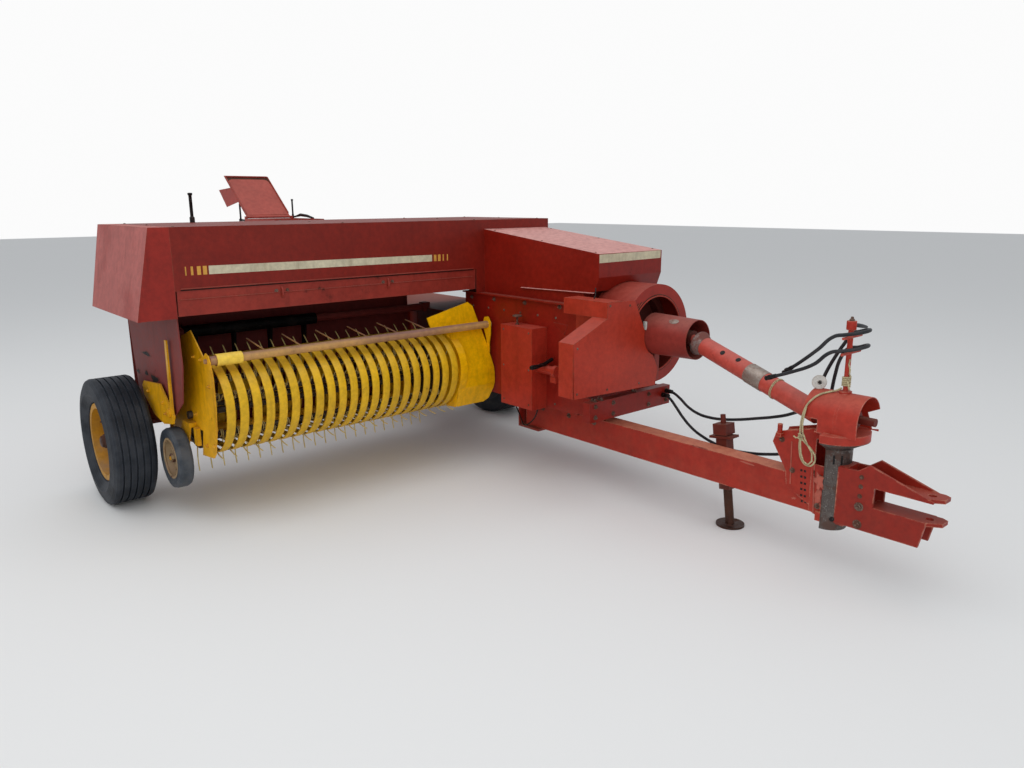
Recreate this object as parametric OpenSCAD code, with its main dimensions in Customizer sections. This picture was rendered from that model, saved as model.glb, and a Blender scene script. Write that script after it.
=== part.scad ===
// Square baler, parked on its jack: a hay press towed beside the windrow.
// Millimetres. Machine axes: X forward from the right wheel's axle, Y to the left from the
// middle of the bale chamber, Z up from the ground. machine() moves them to the model's origin.

/* [Stance] */
// Radius of the right tyre
right_tyre_r = 344; // [300:1:380]
// Width of the right tyre
right_tyre_w = 232; // [180:1:260]
// Middle of the right wheel, to the right of the chamber's middle
right_wheel_y = 2282; // [2260:1:2340]
// Radius of the left tyre
left_tyre_r = 394; // [350:1:420]
// Width of the left tyre
left_tyre_w = 290; // [230:1:310]
// Left wheel's axle behind the right wheel's
left_wheel_back = 120; // [80:1:160]
// Gap between the bale chamber's rails and the left tyre
left_wheel_gap = 92; // [60:1:160]
// Radius of the wheel rims' flanges
rim_r = 212; // [205:1:220]
// Radius of both wheel spindles
spindle_r = 25; // [20:1:32]
// Running clearance of a shaft in its bore
run_clear = 0.05; // [0.02:0.01:0.1]
// Radius of the gauge wheel
gauge_r = 158; // [140:1:170]

/* [Bale chamber] */
// Width of the bale
bale_w = 457; // [400:1:460]
// Height of the bale
bale_h = 356; // [330:1:380]
// Height of the chamber's floor
floor_z = 530; // [510:1:560]
// Thickness of the chamber's walls
chamber_t = 6; // [4:1:10]
// Width of the chamber's edge rails
rail_w = 40; // [25:1:50]
// Rear end of the chamber, behind the right axle
chamber_rear = 1950; // [1900:1:2100]
// Seam between chamber and plunger case
case_rear_x = 540; // [520:1:600]

/* [Plunger case] */
// Half the width of the plunger case
case_half_w = 285; // [280:1:290]
// Front wall of the plunger case
case_front_x = 1550; // [1500:1:1580]
// Underside of the plunger case
case_bottom_z = 430; // [425:1:440]
// Top of the plunger case
case_top_z = 1050; // [1000:1:1080]
// Sheet thickness of the case
case_t = 8; // [5:1:10]
// Width of the shelf along the case's top edge
shelf_w = 24; // [15:1:30]

/* [Hood] */
// Half the width of the gearbox hood
hood_half_w = 257; // [240:1:270]
// Front of the hood
hood_front_x = 1669; // [1640:1:1690]
// Top of the hood at the shroud
hood_rear_z = 1436; // [1420:1:1450]
// Top of the hood at its front
hood_front_z = 1328; // [1310:1:1350]

/* [Shroud] */
// Front face of the shroud
shroud_front_x = 701; // [680:1:720]
// Rear face of the shroud
shroud_rear = 160; // [140:1:180]
// Top of the shroud
shroud_top_z = 1492; // [1480:1:1500]
// Lower edge of the front panel
panel_low_z = 1194; // [1180:1:1210]
// Lower edge of the flap
flap_low_z = 1073; // [1060:1:1090]
// Left end of the shroud
shroud_left_y = 283; // [275:1:290]
// Seam between front panel and end cap
seam_y = 2120; // [2115:1:2130]
// End cap's outer face at its top
cap_top_y = 2214; // [2200:1:2230]
// End cap's outer face at its bottom
cap_low_y = 2300; // [2280:1:2310]
// Sheet thickness of the shroud
sheet_t = 4; // [3:1:6]

/* [Pickup] */
// Pivot of the pickup, ahead of the axle
lift_x = 100; // [90:1:110]
// Height of the pickup's pivot
lift_z = 620; // [610:1:630]
// Reel's axle, ahead of the right wheel's axle
reel_x = 505; // [495:1:510]
// Height of the reel's axle
reel_z = 542; // [535:1:550]
// Radius that the tine tips sweep
tine_tip_r = 349; // [330:1:360]
// Radius of the circle of tine bars
tine_bar_circle_r = 160; // [150:1:166]
// Tine bars on the reel
tine_bars = 5; // [4:1:6]
// Tines on one bar
tines_per_bar = 22; // [12:1:22]
// Distance between tines
tine_pitch = 67.3; // [60:0.1:67.3]
// First tine, to the right of the chamber's middle
first_tine_y = 2002; // [1995:1:2004]
// Thickness of a tine
tine_d = 6; // [5:1:8]
// Width of a stripper band
band_w = 46; // [36:1:50]
// Radius of the stripper bands' front
band_r = 270; // [260:1:280]

/* [Drive] */
// Height of the flywheel's shaft
shaft_z = 900; // [890:1:910]
// Radius of the flywheel
flywheel_r = 236; // [200:1:245]
// Radius of the flywheel's shield
ring_r = 266; // [255:1:280]
// Radius of the shield's front opening
ring_open_r = 200; // [180:1:220]
// Front face of the flywheel shield
ring_front_x = 1860; // [1840:1:1880]
// Radius of the drive line's outer tube
drive_tube_r = 47; // [40:1:49]
// Radius of the implement drive stub (1 3/8 inch)
stub_r = 17.46; // [15:0.01:22.3]

/* [Tongue] */
// Tongue's middle, to the right of the chamber's middle
tongue_y = 170; // [160:1:180]
// Underside of the tongue
tongue_z = 262; // [250:1:270]
// Height of the tongue's beam
tongue_h = 153; // [130:1:156]
// Width of the tongue's beam
tongue_w = 100; // [80:1:110]
// Pivot of the tongue
tongue_pivot_x = 1100; // [1050:1:1150]
// Front end of the tongue's beam
tongue_front_x = 2990; // [2950:1:3010]
// Hitch pin, ahead of the right axle
hitch_x = 3400; // [3380:1:3420]
// Radius of the hitch pin holes
hitch_hole_r = 16; // [12:0.5:17]
// Gap between the two hitch plates
hitch_gap = 83; // [60:1:90]
// Thickness of the hitch plates
hitch_t = 16; // [12:1:20]
// Middle of the jack's foot, ahead of the right axle
jack_x = 2435; // [2420:1:2460]

/* [Hidden] */
$fn = 64;

// Gap between pieces that seat on one another
seat_gap = 0.3;

paint_red = "#a5301f";
paint_yellow = "#dfae12";
tyre_black = "#2c2e30";
steel_grey = "#6c6a66";
hose_black = "#1b1c1e";
twine_cream = "#cdbb93";

// Chamber and case
chamber_half = bale_w / 2 + chamber_t;
chamber_top_z = floor_z + bale_h;
rail_half = chamber_half + rail_w;
left_wheel_y = rail_half + left_wheel_gap + left_tyre_w / 2;

// Hitch
hitch_mid_z = 403;
hitch_low_z = hitch_mid_z - hitch_gap / 2;
hitch_high_z = hitch_mid_z + hitch_gap / 2;
hitch_tip_x = hitch_x + 55;

// Origin: the middle of the machine's length and width, on the ground
origin_x = (chamber_rear - hitch_tip_x) / 2;
origin_y = (right_wheel_y + right_tyre_w / 2 - left_wheel_y - left_tyre_w / 2) / 2;

module machine() translate([origin_x, origin_y, 0]) children();

// A block between two corners
module block(x, y, z) {
    translate([x[0], y[0], z[0]]) cube([x[1] - x[0], y[1] - y[0], z[1] - z[0]]);
}

// Rods along each axis, from a to b
module rod_x(a, b, y, z, r) translate([a, y, z]) rotate([0, 90, 0]) cylinder(h = b - a, r = r);
module rod_y(a, b, x, z, r) translate([x, a, z]) rotate([-90, 0, 0]) cylinder(h = b - a, r = r);
module rod_z(a, b, x, y, r) translate([x, y, a]) cylinder(h = b - a, r = r);

// A plate drawn in X and Z, between two values of Y
module plate_xz(a, b) translate([0, b, 0]) rotate([90, 0, 0]) linear_extrude(b - a) children();
// A plate drawn in Y and Z, between two values of X
module plate_yz(a, b) translate([a, 0, 0]) rotate([90, 0, 90]) linear_extrude(b - a) children();

// A turned part about an axle along Y: outline in radius and distance to the machine's right
module turned_y(x, y, z) translate([x, y, z]) rotate([90, 0, 0]) rotate_extrude() children();
// A turned part about an axle along X: outline in radius and distance forward
module turned_x(x, y, z) translate([x, y, z]) rotate([0, 90, 0]) rotate_extrude() children();

/* Wheels */
// Ribbed implement tyre about its own middle, with grooves between its ribs
module tyre_outline(r, w, ribs) {
    bead_r = rim_seat_r + seat_gap;
    bead_w = 2 * (rim_half_w - 8 - seat_gap);
    groove_w = 9;
    groove_d = 11;
    tread_w = w * 0.86;
    pitch = tread_w / ribs;
    difference() {
        polygon([[bead_r, -bead_w / 2], [rim_r + 3, -bead_w / 2], [rim_r + 8, -rim_half_w - 6],
            [bead_r + (r - bead_r) * 0.5, -w / 2], [r - 26, -w * 0.47], [r - 6, -tread_w / 2],
            [r, -tread_w / 2 + 12], [r, tread_w / 2 - 12], [r - 6, tread_w / 2], [r - 26, w * 0.47],
            [bead_r + (r - bead_r) * 0.5, w / 2], [rim_r + 8, rim_half_w + 6],
            [rim_r + 3, bead_w / 2], [bead_r, bead_w / 2]]);
        for (i = [1 : ribs - 1])
            translate([r - groove_d, -tread_w / 2 + i * pitch - groove_w / 2])
                square([groove_d + 1, groove_w]);
    }
}

// Dished disc wheel about its own middle; its face is sunk behind the outer flange
module rim_outline(r, half_w, seat_r, hub_r, bore_r) {
    polygon([[bore_r, -half_w * 0.5], [hub_r, -half_w * 0.5], [hub_r, -half_w * 0.15],
        [seat_r - 40, -half_w * 0.05], [seat_r - 14, -half_w * 0.2], [seat_r - 10, -half_w],
        [r, -half_w], [r, -half_w + 8], [seat_r, -half_w + 8], [seat_r, half_w - 8],
        [r, half_w - 8], [r, half_w], [seat_r - 10, half_w], [seat_r - 10, -half_w * 0.05],
        [seat_r - 44, half_w * 0.1], [hub_r, half_w * 0.02], [hub_r, half_w * 0.45],
        [bore_r, half_w * 0.45]]);
}

rim_half_w = 84;
rim_seat_r = rim_r - 18;
hub_r = 62;

module right_tyre() color(tyre_black) machine()
    turned_y(0, -right_wheel_y, right_tyre_r) tyre_outline(right_tyre_r, right_tyre_w, 6);

module right_rim() color(paint_yellow) machine()
    turned_y(0, -right_wheel_y, right_tyre_r)
        rim_outline(rim_r, rim_half_w, rim_seat_r, hub_r, spindle_r + run_clear);

module left_tyre() color(tyre_black) machine()
    turned_y(-left_wheel_back, left_wheel_y, left_tyre_r)
        tyre_outline(left_tyre_r, left_tyre_w, 6);

module left_rim() color(paint_yellow) machine()
    turned_y(-left_wheel_back, left_wheel_y, left_tyre_r) mirror([0, 1])
        rim_outline(rim_r, rim_half_w, rim_seat_r, hub_r, spindle_r + run_clear);

// Main beam under the feeder, with a drop plate and spindle for each wheel
axle_beam_z = [400, 490];
axle_beam_x = [-70, 20];
drop_t = 12;
right_drop_y = seam_y + seat_gap + drop_t;
left_drop_y = left_wheel_y - left_tyre_w / 2 - 42;
module axle() color(paint_red) machine() {
    difference() {
        union() {
            block(axle_beam_x, [-right_drop_y + drop_t + seat_gap, left_drop_y - drop_t - seat_gap],
                axle_beam_z);
            // Saddles under the chamber's rails and the feeder's floor
            for (y = [-1950, -1300, -rail_half + 4, rail_half - 44])
                block([axle_beam_x[0] + 8, axle_beam_x[1] - 8], [y, y + 40],
                    [axle_beam_z[1], floor_z - chamber_t]);
        }
        block([axle_beam_x[0] + 7, axle_beam_x[1] - 7], [-right_drop_y + 30, left_drop_y - 30],
            [axle_beam_z[0] + 7, axle_beam_z[1] - 7]);
    }
}

// Plates on the beam's ends, with the spindles
module axle_ends() color(paint_red) machine() {
    block([-80, 70], [-right_drop_y, -right_drop_y + drop_t], [300, 520]);
    block([-left_wheel_back - 60, 40], [left_drop_y - drop_t, left_drop_y], [330, 510]);
    rod_y(-right_wheel_y - rim_half_w * 0.45 - 14, -right_drop_y, 0, right_tyre_r, spindle_r);
    rod_y(left_drop_y, left_wheel_y + rim_half_w * 0.45 + 14, -left_wheel_back, left_tyre_r,
        spindle_r);
}

/* Bale chamber and plunger case */
needle_r = 450;
needle_pivot_x = -400;
needle_pivot_z = 700;
needle_y = 105;
yoke_pin_r = 20;
yoke_arm_y = rail_half + 14;
needle_floor_x = needle_pivot_x - sqrt(pow(needle_r, 2) - pow(needle_pivot_z - floor_z, 2));
star_x = -1330;
feed_open_x = [-100, 520];
module bale_chamber() color(paint_red) machine() difference() {
    union() {
        block([-chamber_rear, case_rear_x], [-chamber_half, chamber_half],
            [floor_z - chamber_t, chamber_top_z + chamber_t]);
        // Angle rails along the four edges
        for (s = [-1, 1], z = [floor_z - chamber_t, chamber_top_z])
            block([-chamber_rear, case_rear_x],
                s < 0 ? [-rail_half, -chamber_half] : [chamber_half, rail_half], [z, z + chamber_t]);
        // Upright stiffeners of the side walls
        for (x = [-1900, -1550, -1200, -650, -200], s = [-1, 1])
            block([x, x + 8], s < 0 ? [-rail_half, -chamber_half] : [chamber_half, rail_half],
                [floor_z, chamber_top_z]);
        // Pins of the needle yoke
        rod_y(-yoke_arm_y - 10, yoke_arm_y + 10, needle_pivot_x, needle_pivot_z, yoke_pin_r);
    }
    block([-chamber_rear - 1, case_rear_x + 1], [-bale_w / 2, bale_w / 2], [floor_z, chamber_top_z]);
    // Feed opening in the right wall
    block(feed_open_x, [-rail_half - 1, 0], [floor_z, chamber_top_z]);
    // Needle slots through floor and roof, and the star wheel's slot
    for (s = [-1, 1])
        block([needle_floor_x - 90, needle_floor_x + 90], [s * needle_y - 22, s * needle_y + 22],
            [floor_z - 20, chamber_top_z + 20]);
    block([star_x - 160, star_x + 160], [-14, 14], [chamber_top_z - 1, chamber_top_z + 20]);
    // Long slots between the roof's and the floor's rails at the rear
    for (s = [-1, 1])
        block([-chamber_rear - 1, -1560], [s * 110 - 60, s * 110 + 60], [floor_z - 20, chamber_top_z + 20]);
}

tongue_pin_r = 24;
// Wall of the gearbox casting
gearbox_t = 14;
module plunger_case() color(paint_red) machine() {
    difference() {
        union() {
            block([case_rear_x, case_front_x], [-case_half_w, case_half_w], [case_bottom_z, case_top_z]);
            // Shelf along the top edges
            block([case_rear_x, case_front_x], [-case_half_w - shelf_w, case_half_w + shelf_w],
                [case_top_z - 8, case_top_z]);
        }
        block([case_rear_x + case_t, case_front_x - case_t],
            [-case_half_w + case_t, case_half_w - case_t], [case_bottom_z + case_t, case_top_z - case_t]);
        // Window to the bale chamber
        block([case_rear_x - 1, case_rear_x + case_t + 1], [-bale_w / 2, bale_w / 2],
            [floor_z, chamber_top_z]);
        // Shaft hole
        rod_x(case_front_x - case_t - 1, case_front_x + 1, 0, shaft_z, 40);
    }
    // Bearing housing of the flywheel's shaft
    turned_x(case_front_x, 0, shaft_z) polygon([[30 + run_clear, 0], [95, 0], [95, 12], [70, 16],
        [70, ring_back_x - case_front_x], [30 + run_clear, ring_back_x - case_front_x]]);
    // Carrier of the tongue's pivot
    for (z = [case_bottom_z - 12, tongue_z - 14])
        block([tongue_pivot_x - 90, tongue_pivot_x + 90], [-tongue_y - 80, -tongue_y + 80], [z, z + 12]);
    block([tongue_pivot_x - 90, tongue_pivot_x - 78], [-tongue_y - 80, -tongue_y + 80],
        [tongue_z - 14, case_bottom_z]);
    rod_z(tongue_z - 14, case_bottom_z, tongue_pivot_x, -tongue_y, tongue_pin_r);
}

module gearbox() color(steel_grey) machine() difference() {
    block([1280, case_front_x - case_t], [-160, 160], [720, case_top_z - case_t]);
    block([1280 + gearbox_t, case_front_x - case_t - gearbox_t], [-160 + gearbox_t, 160 - gearbox_t],
        [720 + gearbox_t, case_top_z - case_t - gearbox_t]);
    rod_x(case_front_x - 70, case_front_x, 0, shaft_z, 40);
}

hood_rear_x = shroud_front_x;
module hood() color(paint_red) machine() difference() {
    plate_xz(-hood_half_w, hood_half_w) polygon([[hood_rear_x, hood_rear_z],
        [hood_front_x, hood_front_z], [hood_front_x, 1203], [hood_front_x - 28, 1128],
        [1560, 1112], [1560, case_top_z], [hood_rear_x, case_top_z]]);
    plate_xz(-hood_half_w + 4, hood_half_w - 4) polygon([[hood_rear_x - 1, hood_rear_z - 4],
        [hood_front_x - 4, hood_front_z - 5], [hood_front_x - 4, 1204], [hood_front_x - 31, 1132],
        [1556, 1116], [1556, case_top_z - 1], [hood_rear_x - 1, case_top_z - 1]]);
    // Way round the flywheel shield
    rod_x(1570, hood_front_x + 1, 0, shaft_z, ring_r + 3);
}

/* Feeder */
feeder_floor_z = floor_z;
feeder_front_x = 105;
rail_x = 60;
rail_z = 900;
rail_r = 24;
pivot_r = 22;
bracket_y = 552;
module feeder_housing() color(paint_red) machine() difference() {
    union() {
        // Floor
        block([-shroud_rear, feeder_front_x], [-seam_y, -rail_half],
            [feeder_floor_z - chamber_t, feeder_floor_z]);
        // Rear wall
        block([-shroud_rear, -shroud_rear + sheet_t], [-seam_y, -rail_half],
            [feeder_floor_z - chamber_t, 1050]);
        // Right end plate
        plate_xz(-seam_y, -seam_y + 6) polygon([[-shroud_rear + sheet_t, shroud_top_z - sheet_t],
            [shroud_front_x - 24, shroud_top_z - sheet_t], [shroud_front_x - 24, 1060], [690, 830],
            [640, 640], [430, 500], [-60, 420], [-90, 605], [-shroud_rear + 2, 1040],
            [-shroud_rear + 2, 1050], [-shroud_rear + sheet_t, 1050]]);
        // Rail of the feeder's carriage, with its bracket on the chamber
        rod_y(-seam_y, -rail_half - 6, rail_x, rail_z, rail_r);
        block([rail_x - 30, rail_x + 30], [-rail_half - 26, -rail_half - seat_gap],
            [rail_z - 30, rail_z + 30]);
        block([rail_x - 30, rail_x + 30], [-rail_half - 26, -rail_half + 24],
            [chamber_top_z + chamber_t, rail_z + 30]);
        // Bearing plate of the pickup's left pivot
        plate_xz(-bracket_y, -bracket_y + 12) polygon([[20, feeder_floor_z], [lift_x, feeder_floor_z],
            [lift_x + 34, lift_z - 20], [lift_x + 34, lift_z + 20], [lift_x - 40, lift_z + 34]]);
    }
    rod_y(-seam_y - 1, -seam_y + 7, lift_x, lift_z, pivot_r + run_clear);
    rod_y(-bracket_y - 1, -bracket_y + 13, lift_x, lift_z, pivot_r + run_clear);
    // Way of the axle's beam through the end plate
    block([axle_beam_x[0] - seat_gap, axle_beam_x[1] + seat_gap], [-seam_y - 1, -seam_y + 7],
        [axle_beam_z[0] - seat_gap, axle_beam_z[1] + seat_gap]);
}

module shroud() color(paint_red) machine() {
    // Top
    block([-shroud_rear, shroud_front_x], [-seam_y, shroud_left_y], [shroud_top_z - sheet_t, shroud_top_z]);
    // Front panel, and the strip that carries on above the hood
    block([shroud_front_x - sheet_t, shroud_front_x], [-seam_y, -case_half_w - 36],
        [panel_low_z, shroud_top_z - sheet_t]);
    block([shroud_front_x - sheet_t, shroud_front_x], [-case_half_w - 36, shroud_left_y],
        [case_top_z, shroud_top_z - sheet_t]);
    // Rear wall
    block([-shroud_rear, -shroud_rear + sheet_t], [-seam_y, shroud_left_y], [1050, shroud_top_z - sheet_t]);
    // Left end
    plate_xz(shroud_left_y - sheet_t, shroud_left_y) polygon([
        [-shroud_rear + sheet_t, shroud_top_z - sheet_t],
        [-shroud_rear + sheet_t, chamber_top_z + chamber_t],
        [case_rear_x - seat_gap, chamber_top_z + chamber_t], [case_rear_x - seat_gap, case_top_z],
        [shroud_front_x - sheet_t, case_top_z], [shroud_front_x - sheet_t, shroud_top_z - sheet_t]]);
}

module flap() color(paint_red) machine()
    plate_xz(-seam_y + 8, -case_half_w - 40) polygon([[shroud_front_x - 8, panel_low_z + 30],
        [shroud_front_x - sheet_t, panel_low_z + 30], [shroud_front_x - sheet_t, panel_low_z - 6],
        [shroud_front_x - 10, flap_low_z], [shroud_front_x - 22, flap_low_z],
        [shroud_front_x - 22, flap_low_z + 4], [shroud_front_x - 14, flap_low_z + 4]]);

// Hollow cap whose outer face leans outwards to its lower edge
module cap_solid(in) {
    polyhedron(points = [
        [-shroud_rear + in, -seam_y, flap_low_z - 8], [shroud_front_x - in, -seam_y, flap_low_z - 8],
        [shroud_front_x - in, -seam_y, shroud_top_z - in], [-shroud_rear + in, -seam_y, shroud_top_z - in],
        [-110 + in, -cap_low_y + in, flap_low_z - 8], [shroud_front_x - in, -cap_low_y + in, flap_low_z - 8],
        [shroud_front_x - in, -cap_top_y + in, shroud_top_z - in],
        [-shroud_rear + in, -cap_top_y + in, shroud_top_z - in]],
        faces = [[0, 1, 2, 3], [4, 7, 6, 5], [0, 4, 5, 1], [3, 2, 6, 7], [0, 3, 7, 4], [1, 5, 6, 2]]);
}
module end_cap() color(paint_red) machine() difference() {
    cap_solid(0);
    translate([0, 1, 0]) cap_solid(sheet_t);
    translate([0, 0, -10]) cap_solid(sheet_t);
}

// Overhead tube with sweeping fingers, on its rail across the feeder
carriage_y = [-1900, -1100];
module feeder_carriage() color(steel_grey) machine() difference() {
    union() {
        rod_y(carriage_y[0], carriage_y[1], rail_x, rail_z, rail_r + 10);
        for (i = [0 : 3])
            plate_xz(carriage_y[0] + 60 + i * 220, carriage_y[0] + 72 + i * 220)
                polygon([[rail_x - 30, rail_z], [rail_x + 30, rail_z], [40, 640], [10, 570], [0, 570],
                    [20, 650]]);
    }
    rod_y(carriage_y[0] - 1, carriage_y[1] + 1, rail_x, rail_z, rail_r + run_clear);
}

/* Pickup */
last_tine_y = first_tine_y - (tines_per_bar - 1) * tine_pitch;
band_x = 600;
band_z = 625;
band_t = 4;
band_rise = 220;
cross_x = 177;
cross_z = 354;
cross_r = 23;
plate_right_y = first_tine_y + 36;
plate_left_y = last_tine_y - 14;
plate_t = 6;
reel_axle_r = 20;
guard_x = 790;
guard_z = 862;
guard_r = 22;
wrap_r = cross_r + seat_gap + band_t;
guard_pin_r = 12;
guard_pitch = 197;
guard_end_y = plate_right_y - 14;
arm_y = seam_y + 20;
arm_t = 8;

// Outer side of a stripper band, or that side moved inwards
module band_outline(in) {
    translate([cross_x, cross_z]) circle(r = wrap_r - in);
    polygon(concat([for (a = [-95 : 10 : 105])
            [band_x + (band_r - in) * cos(a), band_z + ((a > 0 ? band_rise : band_r) - in) * sin(a)]],
        [[400, 815 - in], [300, 762 - in], [230 + in, 690],
            [cross_x - wrap_r + in, cross_z], [cross_x, cross_z - wrap_r + in]]));
}

module stripper_bands() color(paint_yellow) machine() {
    for (i = [0 : tines_per_bar - 2])
        plate_xz(-first_tine_y + (i + 0.5) * tine_pitch - band_w / 2,
            -first_tine_y + (i + 0.5) * tine_pitch + band_w / 2)
            difference() {
                band_outline(0);
                band_outline(band_t);
            }
}

// Sides of the pickup in X and Z: at the right, and behind the flare
pivot_lug = [[100, 668], [70, 655], [55, 635], [55, 600], [75, 578], [110, 574], [145, 560],
    [150, 480], [145, 345], [160, 325], [215, 328]];
side_right = concat([[452, 942], [330, 656]], pivot_lug, [[320, 400], [420, 478], [650, 486], [614, 350],
    [768, 370], [797, 396], [838, 520], [856, 640], [855, 783], [832, 862], [815, 890], [780, 900],
    [751, 873], [600, 990]]);
flare_section = [[718, 1030], [742, 880], [792, 740], [835, 600], [838, 500], [800, 380]];
flare_t = 5;
side_left = concat([[600, 835], [440, 815], [330, 672]], pivot_lug,
    [for (i = [5 : -1 : 1]) flare_section[i] - [flare_t / 2, 0]]);

module pickup_frame() color(paint_yellow) machine() {
    difference() {
        plate_xz(-plate_right_y, -plate_right_y + plate_t) polygon(side_right);
        rod_y(-plate_right_y - 1, -plate_right_y + plate_t + 1, reel_x, reel_z, reel_axle_r + run_clear);
        rod_y(-plate_right_y - 1, -plate_right_y + plate_t + 1, guard_x, guard_z, guard_pin_r + run_clear);
    }
    // Cross tube that carries the bands
    rod_y(-plate_right_y + plate_t, -plate_left_y, cross_x, cross_z, cross_r);
    // Pivot in the end plate, and the lift arm on it with its lever and boss
    rod_y(-arm_y, -plate_right_y + plate_t, lift_x, lift_z, pivot_r);
    plate_xz(-arm_y, -arm_y + arm_t) polygon([[65, 588], [58, 636], [85, 664], [368, 695], [549, 558],
        [520, 512], [376, 483], [224, 504]]);
    plate_xz(-arm_y, -arm_y + arm_t) polygon([[517, 943], [544, 943], [535, 560], [500, 560]]);
    rod_y(-arm_y - 12, -arm_y, 491, 565, 23);
    // Arm and axle of the gauge wheel, and the empty socket beside it
    plate_xz(-gauge_y + gauge_w / 2 + 6, -gauge_y + gauge_w / 2 + 14) polygon([[428, 294], [472, 294],
        [520, 400], [560, 484], [560, 512], [460, 512], [430, 440]]);
    block([460, 560], [-gauge_y + gauge_w / 2 + 13, -plate_right_y], [488, 512]);
    block([572, 612], [-gauge_y + gauge_w / 2 + 20, -plate_right_y], [400, 492]);
    rod_y(-gauge_y - 34, -gauge_y + gauge_w / 2 + 14, gauge_x, gauge_z, gauge_axle_r);
}

flare_edge_y = case_half_w + 8;
module pickup_flare() color(paint_yellow) machine() {
    difference() {
        plate_xz(-plate_left_y, -plate_left_y + plate_t) polygon(side_left);
        rod_y(-plate_left_y - 1, -plate_left_y + plate_t + 1, reel_x, reel_z, reel_axle_r + run_clear);
    }
    // Last band, joined to the flare
    plate_xz(-last_tine_y + 8, -530) difference() {
        band_outline(0);
        band_outline(band_t);
    }
    // Bent sheet: its section in X and Z, cut to its outline in Y and Z
    intersection() {
        plate_xz(-730, -flare_edge_y) polygon(concat(flare_section,
            [for (i = [len(flare_section) - 1 : -1 : 0]) flare_section[i] - [flare_t, 0]]));
        plate_yz(700, 900) polygon([[-721, 934], [-703, 868], [-plate_left_y, 868], [-plate_left_y, 392],
            [-560, 380], [-388, 365], [-320, 400], [-298, 465], [-flare_edge_y, 560], [-315, 720],
            [-340, 860], [-376, 974], [-409, 1002]]);
    }
    // Bracket of the wind guard's left end
    difference() {
        plate_xz(-flare_edge_y - 24, -flare_edge_y - 18) polygon([[797, 688], [813, 690], [812, 745],
            [824, 800], [826, 880], [802, 912], [768, 906], [757, 880], [762, 830], [785, 770]]);
        rod_y(-flare_edge_y - 25, -flare_edge_y - 17, guard_x, guard_z, guard_r + run_clear);
    }
    rod_y(-plate_left_y, -bracket_y + 14, lift_x, lift_z, pivot_r);
}

// Reel: axle, spider discs, tine bars and tines
module reel() color(steel_grey) machine() translate([reel_x, 0, reel_z]) {
    rod_y(-plate_right_y - 20, -plate_left_y + 12, 0, 0, reel_axle_r);
    for (y = [-first_tine_y - 20, -last_tine_y - 2])
        rod_y(y, y + 5, 0, 0, 180);
    for (b = [0 : tine_bars - 1])
        rotate([0, 34 + b * 360 / tine_bars, 0]) {
            rod_y(-first_tine_y - 20, -last_tine_y + 3, tine_bar_circle_r, 0, 14);
            for (t = [0 : tines_per_bar - 1])
                translate([tine_bar_circle_r, -first_tine_y + t * tine_pitch, 0]) rotate([0, 90, 0])
                    cylinder(h = tine_tip_r - tine_bar_circle_r, d = tine_d, $fn = 6);
        }
}

gauge_x = 450;
gauge_y = 2118;
gauge_z = 316;
gauge_w = 78;
gauge_axle_r = 10;
gauge_bead_r = gauge_r * 0.68;
module gauge_tyre() color(tyre_black) machine()
    turned_y(gauge_x, -gauge_y, gauge_z) polygon([[gauge_bead_r + seat_gap, -32],
        [gauge_r * 0.86, -gauge_w / 2], [gauge_r - 6, -35], [gauge_r, -22], [gauge_r, 22],
        [gauge_r - 6, 35], [gauge_r * 0.86, gauge_w / 2], [gauge_bead_r + seat_gap, 32]]);

module gauge_rim() color(twine_cream) machine()
    turned_y(gauge_x, -gauge_y, gauge_z) polygon([[gauge_axle_r + run_clear, -30], [24, -30], [24, -6],
        [gauge_bead_r - 6, -6], [gauge_bead_r - 6, -34], [gauge_bead_r, -34], [gauge_bead_r, 34],
        [gauge_bead_r - 6, 34], [gauge_bead_r - 6, 6], [24, 6], [24, 30], [gauge_axle_r + run_clear, 30]]);

module wind_guard() color(paint_yellow) machine() {
    rod_y(-guard_end_y, -flare_edge_y, guard_x, guard_z, guard_r);
    rod_y(-plate_right_y - 10, -guard_end_y, guard_x, guard_z, guard_pin_r);
    rod_y(-1993, -1867, guard_x, guard_z, guard_r + 7);
    for (i = [0 : 5])
        translate([guard_x, -1735 + i * guard_pitch, guard_z + 10]) rotate([0, -81.6, 0])
            cylinder(h = 247, d = 8, $fn = 8);
}

/* Drive */
ring_back_x = 1600;
ring_t = 4;
joint_x = 2100;
ball_r = 26;
hub_end_x = joint_x + 4;
module flywheel() color(steel_grey) machine() difference() {
    turned_x(0, 0, shaft_z) polygon([[0, case_front_x - 70], [30, case_front_x - 70], [30, ring_back_x + 20],
        [60, ring_back_x + 20], [60, ring_back_x + 50], [flywheel_r - 40, ring_back_x + 60],
        [flywheel_r - 40, ring_back_x + 40], [flywheel_r, ring_back_x + 40], [flywheel_r, ring_back_x + 130],
        [flywheel_r - 40, ring_back_x + 130], [flywheel_r - 40, ring_back_x + 80], [60, ring_back_x + 90],
        [60, ring_back_x + 150], [30, ring_back_x + 150], [30, joint_x - 70], [44, joint_x - 60],
        [44, hub_end_x], [0, hub_end_x]]);
    // Cup for the ball of the drive line
    rod_x(joint_x - ball_r - seat_gap, hub_end_x + 1, 0, shaft_z, ball_r + seat_gap);
}

module flywheel_shield() color(paint_red) machine()
    turned_x(0, 0, shaft_z) polygon([[44, ring_back_x], [ring_r, ring_back_x], [ring_r, ring_front_x],
        [ring_open_r, ring_front_x], [ring_open_r, ring_front_x - ring_t],
        [ring_r - ring_t, ring_front_x - ring_t], [ring_r - ring_t, ring_back_x + ring_t],
        [44, ring_back_x + ring_t]]);

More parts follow.
